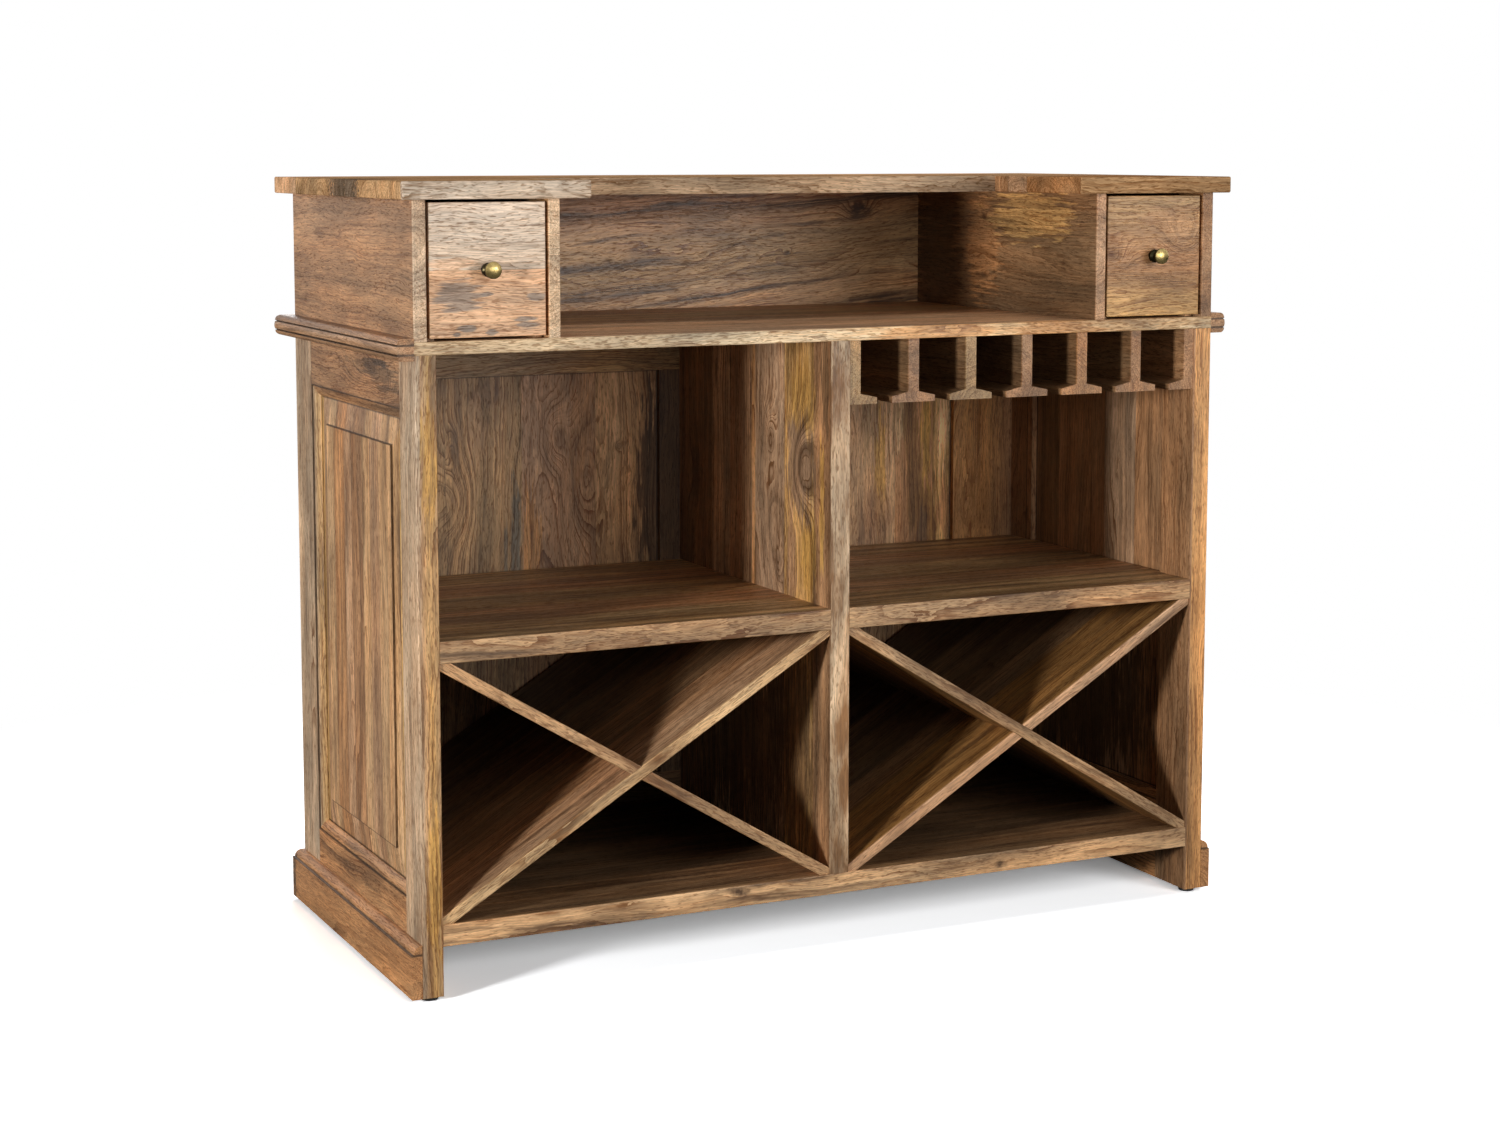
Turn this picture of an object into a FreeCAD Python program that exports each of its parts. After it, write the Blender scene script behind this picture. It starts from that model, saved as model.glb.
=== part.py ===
import FreeCAD, Part
import math
import operator
import os
from types import SimpleNamespace

import Sketcher

# Bar cabinet in millimetres: +X right, +Y to the customer's side, +Z up.
# The origin is on the floor under the middle of the case.

SIZES = {
    # Case
    "case_width": 1260,
    "case_depth": 554,
    "foot_height": 6,
    "frame_thickness": 30,
    "divider_thickness": 30,
    "shelf_thickness": 30,
    "shelf_top": 490,
    "bottom_shelf_top": 104,
    "housing_depth": 6,
    "housing_stop": 12,
    "deck_top": 890,
    "deck_thickness": 18,
    "edge_rounding": 1.5,
    # Frames and their raised panels
    "front_stile_face": 65,
    "rear_stile_face": 80,
    "side_top_rail_face": 75,
    "bottom_rail_face": 125,
    "back_stile_face": 98,
    "back_centre_stile_face": 70,
    "back_top_rail_face": 63,
    "sticking_width": 15,
    "sticking_lip": 1.5,
    "sticking_quirk": 2,
    "groove_depth": 12,
    "groove_inset": 11,
    "panel_tongue": 9,
    "panel_reach": 10,
    "panel_play": 0.3,
    "panel_border": 39,
    "panel_bevel_rise": 4.5,
    "panel_field_step": 2.8,
    # Foot glides
    "glide_diameter": 24,
    "glide_inset": 17,
    "glide_rounding": 1.5,
    # Waist moulding
    "waist_bottom": 865,
    "waist_height": 30,
    "waist_reach": 25,
    "waist_bead_bottom": 9,
    "waist_bead_height": 11,
    "waist_bead_rise": 1,
    "waist_groove_depth": 2.2,
    "waist_groove_height": 2,
    # Plinth
    "plinth_height": 74,
    "plinth_thickness": 15,
    "plinth_step": 2.5,
    "plinth_quirk": 1,
    # Upper section and bar top
    "bar_height": 1100,
    "bar_top_thickness": 24,
    "bar_top_side_overhang": 20,
    "bar_top_front_overhang": 17,
    "bar_top_back_overhang": 29,
    "bar_top_rounding": 2.5,
    "wing_inner_overhang": 39,
    "wing_depth": 244,
    "upper_side_thickness": 18,
    "upper_back_thickness": 16,
    "partition_thickness": 16,
    # Bottle bins
    "bin_board_thickness": 16,
    "bin_setback": 3,
    "lap_play": 0.2,
    # Stemware rack
    "rack_drop": 91,
    "rack_web": 17,
    "rack_foot_width": 70,
    "rack_foot_edge": 9,
    "rack_foot_bevel": 6,
    "rack_setback": 2,
    # Drawers
    "drawer_width": 164,
    "drawer_side_play": 4,
    "drawer_gap_below": 3.5,
    "drawer_gap_above": 4,
    "drawer_setback": 2.5,
    "drawer_front_thickness": 18,
    "drawer_side_thickness": 12,
    "drawer_rim_drop": 42,
    "drawer_back_play": 1,
    "drawer_bottom_thickness": 6,
    "drawer_bottom_height": 8,
    "drawer_groove_depth": 5,
    # Knobs
    "knob_reach": 25,
    "knob_head_diameter": 23,
    "knob_head_thickness": 10,
    "knob_head_flare": 4,
    "knob_dome": 3,
    "knob_neck_diameter": 13,
    "knob_base_diameter": 19,
    "knob_base_thickness": 5,
    "knob_base_taper": 3,
    "knob_screw_diameter": 5,
    "knob_screw_length": 12,
    "knob_screw_play": 0.2,
}
RACK_RAILS = 5
OVOLO_EASE = 1.1

doc = FreeCAD.newDocument("bar_cabinet")
sheet = doc.addObject("Spreadsheet::Sheet", "Sizes")
pieces = []

# Sizes that keep their formula


class Size:
    """A length that keeps its number together with the sheet formula behind it."""

    def __init__(self, number, formula):
        self.number = number
        self.formula = formula

    def __add__(self, other):
        return worked_out(self, "+", other)

    def __sub__(self, other):
        return worked_out(self, "-", other)

    def __mul__(self, other):
        return worked_out(self, "*", other)

    def __rmul__(self, other):
        return worked_out(other, "*", self)

    def __truediv__(self, other):
        return worked_out(self, "/", other)

    def __neg__(self):
        return worked_out(0, "-", self)


OPERATIONS = {"+": operator.add, "-": operator.sub, "*": operator.mul, "/": operator.truediv}


def as_size(value):
    return value if isinstance(value, Size) else Size(value, str(value))


def worked_out(first, sign, second):
    first, second = as_size(first), as_size(second)
    number = OPERATIONS[sign](first.number, second.number)
    return Size(number, f"({first.formula} {sign} {second.formula})")


def square_root(area):
    return Size(math.sqrt(area.number), f"sqrt({area.formula})")


def slope_angle(rise, run):
    """The angle, in degrees, of a line with this rise over this run."""
    degrees = math.degrees(math.atan2(rise.number, run.number))
    return Size(degrees, f"atan({rise.formula} / {run.formula})")


def place_sizes():
    """Fills the sheet and gives each of its cells back as a Size."""
    for row, (name, number) in enumerate(SIZES.items(), 1):
        sheet.set(f"A{row}", str(number))
        sheet.setAlias(f"A{row}", name)
    doc.recompute()
    return SimpleNamespace(**{name: Size(number, f"Sizes.{name}") for name, number in SIZES.items()})


def bind(thing, path, value):
    thing.setExpression(path, as_size(value).formula)


# Building blocks


def put(thing, x, y, z, rotation=FreeCAD.Rotation()):
    """Turns a piece and puts its own corner at a place in the cabinet."""
    thing.Placement = FreeCAD.Placement(FreeCAD.Vector(), rotation)
    for letter, value in zip("xyz", (x, y, z)):
        bind(thing, f"Placement.Base.{letter}", value)
    return thing


def box(name, length, width, height):
    plain = doc.addObject("Part::Box", name)
    for path, value in (("Length", length), ("Width", width), ("Height", height)):
        bind(plain, path, value)
    return plain


def board(name, low, high):
    """A plain board between two opposite corners."""
    return put(box(name, *(as_size(far) - near for near, far in zip(low, high))), *low)


def joined(name, *members):
    whole = doc.addObject("Part::MultiFuse", name)
    whole.Shapes = list(members)
    whole.Refine = True
    return whole


def cut(name, base, *tools):
    """The base with the tools' shapes taken away."""
    taken = tools[0] if len(tools) == 1 else joined(f"{name}_tools", *tools)
    rest = doc.addObject("Part::Cut", name)
    rest.Base = base
    rest.Tool = taken
    rest.Refine = True
    return rest


def shared(name, first, second):
    overlap = doc.addObject("Part::Common", name)
    overlap.Base = first
    overlap.Tool = second
    return overlap


def lies_at(edge, axis, place):
    return all(abs(vertex.Point[axis] - place.number) < 1e-4 for vertex in edge.Vertexes)


def runs_along(edge, axis):
    ends = [vertex.Point for vertex in edge.Vertexes]
    return len(ends) == 2 and abs((ends[1] - ends[0]).normalize()[axis]) > 0.999


def eased(name, base, radius, chosen):
    """The base with the chosen edges rounded over."""
    doc.recompute()
    rounding = doc.addObject("Part::Fillet", name)
    rounding.Base = base
    numbered = enumerate(base.Shape.Edges, 1)
    rounding.Edges = [(number, radius.number, radius.number) for number, edge in numbered if chosen(edge)]
    return rounding


def front_arrises(axis, place):
    """Picks the edges on a front plane that run along an axis."""
    return lambda edge: lies_at(edge, 1, place) and runs_along(edge, axis)


def keep(piece, label):
    piece.Label = label
    pieces.append(piece)
    return piece


def twin(source, name):
    """The mirror image of a piece across the cabinet's middle."""
    image = doc.addObject("Part::Mirroring", name)
    image.Source = source
    image.Normal = FreeCAD.Vector(1, 0, 0)
    return image


def keep_pair(piece, label):
    """Keeps a left-hand piece and its right-hand twin."""
    keep(piece, label)
    right_label = label.replace("left", "right")
    return piece, keep(twin(piece, right_label), right_label)


def arc_between(start, end, radius):
    """An arc that swells to the outside of a counter-clockwise outline."""
    chord = end - start
    inward = FreeCAD.Vector(-chord.y, chord.x, 0).normalize()
    centre = (start + end) / 2 + inward * math.sqrt(max(radius ** 2 - chord.Length ** 2 / 4, 0))
    circle = Part.Circle(centre, FreeCAD.Vector(0, 0, 1), radius)
    angles = [math.atan2(point.y - centre.y, point.x - centre.x) for point in (start, end)]
    return Part.ArcOfCircle(circle, *angles)


def outline(body, name, corners, arcs):
    """A closed sketch on the body's ground plane, its corners held by their distances from the origin.

    arcs gives the radius of each stretch that is round, by the number of the corner it leaves.
    """
    ground = next(plane for plane in body.Origin.OriginFeatures if plane.Role == "XY_Plane")
    sketch = body.newObject("Sketcher::SketchObject", name)
    sketch.AttachmentSupport = (ground, [""])
    sketch.MapMode = "FlatFace"
    corners = [(as_size(x), as_size(y)) for x, y in corners]
    points = [FreeCAD.Vector(x.number, y.number, 0) for x, y in corners]
    for number, start in enumerate(points):
        end = points[(number + 1) % len(points)]
        if number in arcs:
            sketch.addGeometry(arc_between(start, end, arcs[number].number))
        else:
            sketch.addGeometry(Part.LineSegment(start, end))
    for number in range(len(points)):
        following = (number + 1) % len(points)
        sketch.addConstraint(Sketcher.Constraint("Coincident", number, 2, following, 1))
    for number, corner in enumerate(corners):
        for kind, distance in zip(("DistanceX", "DistanceY"), corner):
            held = Sketcher.Constraint(kind, -1, 1, number, 1, distance.number)
            bind(sketch, f"Constraints[{sketch.addConstraint(held)}]", distance)
    for number, radius in arcs.items():
        held = Sketcher.Constraint("Radius", number, radius.number)
        bind(sketch, f"Constraints[{sketch.addConstraint(held)}]", radius)
    return sketch


def strip(name, length, corners, arcs):
    """A length of wood of one profile, run along its own Z."""
    body = doc.addObject("PartDesign::Body", name)
    sketch = outline(body, f"{name}_profile", corners, arcs)
    pad = body.newObject("PartDesign::Pad", f"{name}_pad")
    pad.Profile = sketch
    bind(pad, "Length", length)
    body.Tip = pad
    return body


def turned(name, corners, arcs):
    """A round piece turned about its own Y axis."""
    body = doc.addObject("PartDesign::Body", name)
    sketch = outline(body, f"{name}_profile", corners, arcs)
    spin = body.newObject("PartDesign::Revolution", f"{name}_spin")
    spin.Profile = sketch
    spin.ReferenceAxis = (sketch, ["V_Axis"])
    spin.Angle = 360
    body.Tip = spin
    return body


# Main planes of the cabinet

s = place_sizes()
left = -s.case_width / 2
front = -s.case_depth / 2
back = s.case_depth / 2
left_inside = left + s.frame_thickness
back_inside = back - s.frame_thickness
divider_left = -s.divider_thickness / 2
deck_under = s.deck_top - s.deck_thickness
shelf_under = s.shelf_top - s.shelf_thickness
bar_under = s.bar_height - s.bar_top_thickness

# Turns that stand a strip along the side, the back or the depth of the cabinet

X_AXIS, Y_AXIS, Z_AXIS = (FreeCAD.Vector(*axis) for axis in ((1, 0, 0), (0, 1, 0), (0, 0, 1)))
ALONG_BACK = FreeCAD.Rotation()
ALONG_SIDE = FreeCAD.Rotation(Z_AXIS, 90)
LAID_DOWN = FreeCAD.Rotation(FreeCAD.Vector(1, 1, 1), 120)
END_FOR_END = FreeCAD.Rotation(Y_AXIS, 180)
UPSIDE_DOWN = FreeCAD.Rotation(X_AXIS, 180)
FRONT_TO_BACK = FreeCAD.Rotation(X_AXIS, 90)
TO_THE_FRONT = FreeCAD.Rotation(Z_AXIS, 180)
DIAGONAL = FreeCAD.Rotation(Z_AXIS, 45)

# Frame members: heights in their profile run from the inner face outwards

groove_high = s.frame_thickness - s.groove_inset
groove_low = groove_high - s.panel_tongue - 2 * s.panel_play
sticking_tip = groove_high + s.sticking_lip
quirk_floor = s.frame_thickness - s.sticking_quirk
ovolo_drop = quirk_floor - sticking_tip
# A little flatter than the arc that leaves the quirk level
ovolo_radius = OVOLO_EASE * (s.sticking_width * s.sticking_width / ovolo_drop + ovolo_drop) / 2


def panel_edge(edge):
    """The grooved and moulded edge of a frame member, from its inner face to its outer face."""
    return [
        (edge, 0),
        (edge, groove_low),
        (edge - s.groove_depth, groove_low),
        (edge - s.groove_depth, groove_high),
        (edge, groove_high),
        (edge, sticking_tip),
        (edge - s.sticking_width, quirk_floor),
        (edge - s.sticking_width, s.frame_thickness),
    ]


def stile(name, face, length):
    """An upright frame member, moulded on one edge."""
    corners = [(0, 0)] + panel_edge(face + s.sticking_width) + [(0, s.frame_thickness)]
    return strip(name, length, corners, {6: ovolo_radius})


def rail(name, face, length):
    """A level frame member: a stile's profile with its two directions changed over."""
    corners = [(0, 0)] + panel_edge(face + s.sticking_width) + [(0, s.frame_thickness)]
    changed_over = [(height, along) for along, height in reversed(corners)]
    return strip(name, length, changed_over, {2: ovolo_radius})


def centre_stile(name, face, length):
    """An upright frame member, moulded on both edges."""
    width = face + 2 * s.sticking_width
    right_edge = panel_edge(width)
    left_edge = [(width - along, height) for along, height in reversed(right_edge)]
    return strip(name, length, right_edge + left_edge, {5: ovolo_radius, 9: ovolo_radius})


def raised_panel(name, spot, turn, along, up):
    """A panel with a raised field and bevelled borders, between the edges along and up of its frame."""
    sight_width = along[1] - along[0]
    sight_height = up[1] - up[0]
    tongue_low = groove_low + s.panel_play
    tongue_high = tongue_low + s.panel_tongue
    field_low = tongue_high + s.panel_bevel_rise
    slab = box(
        f"{name}_slab",
        sight_width + 2 * s.panel_reach,
        s.panel_tongue,
        sight_height + 2 * s.panel_reach,
    )
    put(slab, *spot(along[0] - s.panel_reach, tongue_low, up[0] - s.panel_reach), turn)
    bevel = doc.addObject("Part::Wedge", f"{name}_bevel")
    reaches = {
        "Xmin": 0,
        "Xmax": sight_width,
        "X2min": s.panel_border,
        "X2max": sight_width - s.panel_border,
        "Ymin": 0,
        "Ymax": s.panel_bevel_rise,
        "Zmin": 0,
        "Zmax": sight_height,
        "Z2min": s.panel_border,
        "Z2max": sight_height - s.panel_border,
    }
    for path, value in reaches.items():
        bind(bevel, path, value)
    put(bevel, *spot(along[0], tongue_high, up[0]), turn)
    field = box(
        f"{name}_field",
        sight_width - 2 * s.panel_border,
        s.panel_field_step,
        sight_height - 2 * s.panel_border,
    )
    put(field, *spot(along[0] + s.panel_border, field_low, up[0] + s.panel_border), turn)
    return joined(name, slab, bevel, field)


def side_spot(along, out, up):
    """A place on the left side frame: from its front edge, out from its inner face, up from the floor."""
    return left_inside - out, front + along, up


def back_spot(along, out, up):
    """A place on the back frame: across the cabinet, out from its inner face, up from the floor."""
    return along, back_inside + out, up


# Shelves


def shelf(name, low_x, high_x, top):
    """A shelf whose ends are let into its neighbours, stopped short of the front."""
    under = top - s.shelf_thickness
    shown = board(f"{name}_shown", (low_x, front, under), (high_x, back_inside, top))
    let_in = board(
        f"{name}_let_in",
        (low_x - s.housing_depth, front + s.housing_stop, under),
        (high_x + s.housing_depth, back_inside, top),
    )
    whole = joined(f"{name}_whole", shown, let_in)
    return eased(name, whole, s.edge_rounding, front_arrises(0, front))


left_shelf, right_shelf = keep_pair(shelf("left_shelf", left_inside, divider_left, s.shelf_top), "left_shelf")
bottom_shelf = keep(shelf("bottom_shelf", left_inside, -left_inside, s.bottom_shelf_top), "bottom_shelf")

# Side frames

stile_length = deck_under - s.foot_height
bottom_rail_top = s.foot_height + s.bottom_rail_face


def side_frame():
    rail_length = s.case_depth - s.front_stile_face - s.rear_stile_face
    front_stile = stile("front_stile_blank", s.front_stile_face, stile_length)
    put(front_stile, *side_spot(0, 0, s.foot_height), ALONG_SIDE)
    rear_stile = stile("rear_stile_blank", s.rear_stile_face, stile_length)
    put(rear_stile, *side_spot(s.case_depth, 0, deck_under), ALONG_SIDE * END_FOR_END)
    bottom_rail = rail("bottom_rail_blank", s.bottom_rail_face, rail_length)
    put(bottom_rail, *side_spot(s.front_stile_face, 0, s.foot_height), ALONG_SIDE * LAID_DOWN)
    top_rail = rail("top_rail_blank", s.side_top_rail_face, rail_length)
    top_rail_end = side_spot(s.case_depth - s.rear_stile_face, 0, deck_under)
    put(top_rail, *top_rail_end, ALONG_SIDE * LAID_DOWN * UPSIDE_DOWN)
    housed = cut("front_stile_housed", front_stile, left_shelf, bottom_shelf)
    keep_pair(eased("left_front_stile", housed, s.edge_rounding, front_arrises(2, front)), "left_front_stile")
    keep_pair(cut("left_rear_stile", rear_stile, left_shelf, bottom_shelf), "left_rear_stile")
    keep_pair(cut("left_top_rail", top_rail, front_stile, rear_stile), "left_top_rail")
    coped = cut("left_bottom_rail", bottom_rail, front_stile, rear_stile, bottom_shelf)
    keep_pair(coped, "left_bottom_rail")
    along = s.front_stile_face + s.sticking_width, s.case_depth - s.rear_stile_face - s.sticking_width
    up = bottom_rail_top + s.sticking_width, deck_under - s.side_top_rail_face - s.sticking_width
    keep_pair(raised_panel("left_panel", side_spot, ALONG_SIDE, along, up), "left_panel")


# Back frame


def back_frame():
    rail_end = left_inside + s.back_stile_face
    rail_length = -2 * rail_end
    top_rail_under = deck_under - s.back_top_rail_face
    end_stile = stile("left_back_stile", s.back_stile_face, stile_length)
    put(end_stile, *back_spot(left_inside, 0, s.foot_height), ALONG_BACK)
    end_stiles = keep_pair(end_stile, "left_back_stile")
    bottom_rail = rail("back_bottom_rail_blank", s.bottom_rail_face, rail_length)
    put(bottom_rail, *back_spot(rail_end, 0, s.foot_height), LAID_DOWN)
    top_rail = rail("back_top_rail_blank", s.back_top_rail_face, rail_length)
    put(top_rail, *back_spot(-rail_end, 0, deck_under), LAID_DOWN * UPSIDE_DOWN)
    middle = centre_stile("back_centre_stile_blank", s.back_centre_stile_face, top_rail_under - bottom_rail_top)
    middle_edge = s.back_centre_stile_face / 2 + s.sticking_width
    put(middle, *back_spot(-middle_edge, 0, bottom_rail_top), ALONG_BACK)
    keep(cut("back_bottom_rail", bottom_rail, *end_stiles), "back_bottom_rail")
    keep(cut("back_top_rail", top_rail, *end_stiles), "back_top_rail")
    keep(cut("back_centre_stile", middle, bottom_rail, top_rail), "back_centre_stile")
    along = rail_end + s.sticking_width, -middle_edge
    up = bottom_rail_top + s.sticking_width, top_rail_under - s.sticking_width
    keep_pair(raised_panel("left_back_panel", back_spot, ALONG_BACK, along, up), "left_back_panel")


# Divider and deck


def divider():
    plain = board(
        "divider_plain",
        (divider_left, front, s.bottom_shelf_top),
        (-divider_left, back_inside, deck_under),
    )
    housed = cut("divider_housed", plain, left_shelf, right_shelf)
    keep(eased("centre_divider", housed, s.edge_rounding, front_arrises(2, front)), "centre_divider")


def deck():
    plain = board("deck_plain", (left, front, deck_under), (-left, back, s.deck_top))
    keep(eased("deck", plain, s.edge_rounding, front_arrises(0, front)), "deck")


# Waist moulding, mitred round the rear corners


def mitre_cutter(name, outside_left):
    """A block that trims a strip at 45 degrees, on one side of the left rear corner's mitre."""
    half = 4 * s.waist_reach
    diagonal = half / math.sqrt(2)
    cutter = box(name, half, 2 * half, s.waist_height)
    if outside_left:
        return put(cutter, left, back - 2 * diagonal, s.waist_bottom, DIAGONAL)
    return put(cutter, left + diagonal, back - diagonal, s.waist_bottom, DIAGONAL)


def waist_moulding():
    """A rounded nose with a bead between two V grooves."""
    nose = s.waist_reach - s.waist_bead_rise
    valley = nose - s.waist_groove_depth
    lower_radius = s.waist_bead_bottom - s.waist_groove_height
    bead_top = s.waist_bead_bottom + s.waist_bead_height
    upper_start = bead_top + s.waist_groove_height
    upper_radius = s.waist_height - upper_start
    half_bead = s.waist_bead_height / 2
    bead_radius = (half_bead * half_bead / s.waist_bead_rise + s.waist_bead_rise) / 2
    corners = [
        (0, 0),
        (nose - lower_radius, 0),
        (nose, lower_radius),
        (valley, lower_radius + s.waist_groove_height / 2),
        (nose, s.waist_bead_bottom),
        (nose, bead_top),
        (valley, bead_top + s.waist_groove_height / 2),
        (nose, upper_start),
        (nose - upper_radius, s.waist_height),
        (0, s.waist_height),
    ]
    arcs = {1: lower_radius, 4: bead_radius, 7: upper_radius}
    side = strip("waist_side_strip", s.case_depth + s.waist_reach, corners, arcs)
    put(side, left, front, s.waist_bottom, ALONG_SIDE * LAID_DOWN)
    past_corner = mitre_cutter("waist_past_corner", False)
    keep_pair(cut("left_waist_moulding", side, past_corner), "left_waist_moulding")
    across = strip("waist_back_strip", s.case_width + 2 * s.waist_reach, corners, arcs)
    put(across, left - s.waist_reach, back, s.waist_bottom, LAID_DOWN)
    left_end = mitre_cutter("waist_left_end", True)
    right_end = twin(left_end, "waist_right_end")
    keep(cut("back_waist_moulding", across, left_end, right_end), "back_waist_moulding")


# Plinth


def plinth():
    """A flat base board with a quirk and a quarter-round top; the back one is moulded on its ends too."""
    ovolo = s.plinth_thickness - s.plinth_step
    ovolo_start = s.plinth_height - ovolo
    moulded_edge = [
        (s.plinth_thickness, 0),
        (s.plinth_thickness, ovolo_start - s.plinth_quirk),
        (ovolo, ovolo_start),
        (0, s.plinth_height),
    ]
    corners = [(0, 0)] + moulded_edge
    side = strip("left_plinth", s.case_depth, corners, {3: ovolo})
    keep_pair(put(side, left, front, s.foot_height, ALONG_SIDE * LAID_DOWN), "left_plinth")
    across = strip("back_plinth_strip", s.case_width + 2 * s.plinth_thickness, corners, {3: ovolo})
    put(across, left - s.plinth_thickness, back, s.foot_height, LAID_DOWN)
    right_end = [(-left + out, up) for out, up in moulded_edge]
    left_end = [(left - out, up) for out, up in reversed(moulded_edge)]
    ends = strip("back_plinth_ends", s.plinth_thickness, right_end + left_end, {2: ovolo, 4: ovolo})
    put(ends, 0, back + s.plinth_thickness, s.foot_height, FRONT_TO_BACK)
    keep(shared("back_plinth", across, ends), "back_plinth")


# Upper section and bar top

upper_inside = left + s.upper_side_thickness
upper_back_front = back - s.upper_back_thickness
drawer_low = upper_inside + s.drawer_side_play
drawer_high = drawer_low + s.drawer_width
partition_outside = drawer_high + s.drawer_side_play
partition_inside = partition_outside + s.partition_thickness


def upper_section():
    side = board("left_upper_side_plain", (left, front, s.deck_top), (upper_inside, back, bar_under))
    keep_pair(eased("left_upper_side", side, s.edge_rounding, front_arrises(2, front)), "left_upper_side")
    partition = board(
        "left_partition_plain",
        (partition_outside, front, s.deck_top),
        (partition_inside, upper_back_front, bar_under),
    )
    keep_pair(eased("left_partition", partition, s.edge_rounding, front_arrises(2, front)), "left_partition")
    keep(
        board("upper_back", (upper_inside, upper_back_front, s.deck_top), (-upper_inside, back, bar_under)),
        "upper_back",
    )


def bar_top():
    """A long rear board with a wing glued on over each drawer."""
    outer = left - s.bar_top_side_overhang
    wing_front = front - s.bar_top_front_overhang
    wing_back = wing_front + s.wing_depth
    rear = back + s.bar_top_back_overhang
    wing = board(
        "wing_plain",
        (outer, wing_front, bar_under),
        (partition_inside + s.wing_inner_overhang, wing_back, s.bar_height),
    )
    rear_board = board("rear_board_plain", (outer, wing_back, bar_under), (-outer, rear, s.bar_height))

    def clear_of_glue_line(edge):
        return not lies_at(edge, 1, wing_back)

    keep_pair(eased("left_bar_top_wing", wing, s.bar_top_rounding, clear_of_glue_line), "left_bar_top_wing")
    keep(eased("bar_top_rear", rear_board, s.bar_top_rounding, clear_of_glue_line), "bar_top_rear")


# Crossed boards of the bottle bins

bin_front = front + s.bin_setback
bin_width = divider_left - left_inside
bin_height = shelf_under - s.bottom_shelf_top


def slanted(name, rising, thickness, low_y, high_y):
    """A board from corner to corner of the left bin, rising or falling to the right."""
    diagonal = square_root(bin_width * bin_width + bin_height * bin_height)
    across = bin_width / diagonal
    upward = bin_height / diagonal
    sense = 1 if rising else -1
    middle_x = (left_inside + divider_left) / 2
    middle_z = (s.bottom_shelf_top + shelf_under) / 2
    plank = box(name, diagonal, high_y - low_y, thickness)
    angle = slope_angle(bin_height, bin_width)
    put(
        plank,
        middle_x - diagonal * across / 2 + sense * (thickness * upward / 2),
        low_y,
        middle_z - sense * (diagonal * upward / 2) - thickness * across / 2,
        FreeCAD.Rotation(Y_AXIS * -sense, angle.number),
    )
    bind(plank, "Placement.Rotation.Angle", angle)
    return plank


def bottle_bins():
    """Two boards in each bin, halved into each other where they cross."""
    space = board(
        "bin_space",
        (left_inside, bin_front, s.bottom_shelf_top),
        (divider_left, back_inside, shelf_under),
    )
    middle = (bin_front + back_inside) / 2
    slot = s.bin_board_thickness + 2 * s.lap_play

    def slanting_arrises(edge):
        return lies_at(edge, 1, bin_front) and not runs_along(edge, 0) and not runs_along(edge, 2)

    for label, rising, low_y, high_y in (
        ("left_bin_board_rear_slotted", True, middle, back_inside),
        ("left_bin_board_front_slotted", False, bin_front, middle),
    ):
        plank = slanted(f"{label}_plank", rising, s.bin_board_thickness, bin_front, back_inside)
        fitted = shared(f"{label}_fitted", plank, space)
        rounded = eased(f"{label}_rounded", fitted, s.edge_rounding, slanting_arrises)
        crossing = slanted(f"{label}_slot", not rising, slot, low_y, high_y)
        keep_pair(cut(label, rounded, crossing), label)


# Stemware rack in the right compartment


def rack_strip(name, x, corners):
    length = back_inside - front - s.rack_setback
    return keep(
        put(strip(name, length, corners, {}), x, back_inside, deck_under - s.rack_drop, FRONT_TO_BACK),
        name,
    )


def stemware_rack():
    """T-shaped rails at even spacing, with an L-shaped rail against each wall."""
    span = -left_inside + divider_left
    pitch = (span - s.rack_web) / (RACK_RAILS + 1)
    ledge = (s.rack_foot_width - s.rack_web) / 2
    web_foot = s.rack_foot_edge + s.rack_foot_bevel
    tee = [
        (0, 0),
        (s.rack_foot_width, 0),
        (s.rack_foot_width, s.rack_foot_edge),
        (ledge + s.rack_web, web_foot),
        (ledge + s.rack_web, s.rack_drop),
        (ledge, s.rack_drop),
        (ledge, web_foot),
        (0, s.rack_foot_edge),
    ]
    foot = s.rack_web + ledge
    near_wall = [
        (0, 0),
        (foot, 0),
        (foot, s.rack_foot_edge),
        (s.rack_web, web_foot),
        (s.rack_web, s.rack_drop),
        (0, s.rack_drop),
    ]
    far_wall = [(foot - x, y) for x, y in reversed(near_wall)]
    rack_strip("rack_end_left", -divider_left, near_wall)
    for number in range(1, RACK_RAILS + 1):
        rack_strip(f"rack_rail_{number}", -divider_left + number * pitch - ledge, tee)
    rack_strip("rack_end_right", -left_inside - foot, far_wall)


# Drawers

drawer_end = upper_back_front - s.drawer_back_play
drawer_middle = (drawer_low + drawer_high) / 2
drawer_face = front + s.drawer_setback
drawer_front_low = s.deck_top + s.drawer_gap_below
drawer_front_high = bar_under - s.drawer_gap_above
knob_up = (drawer_front_low + drawer_front_high) / 2


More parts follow.
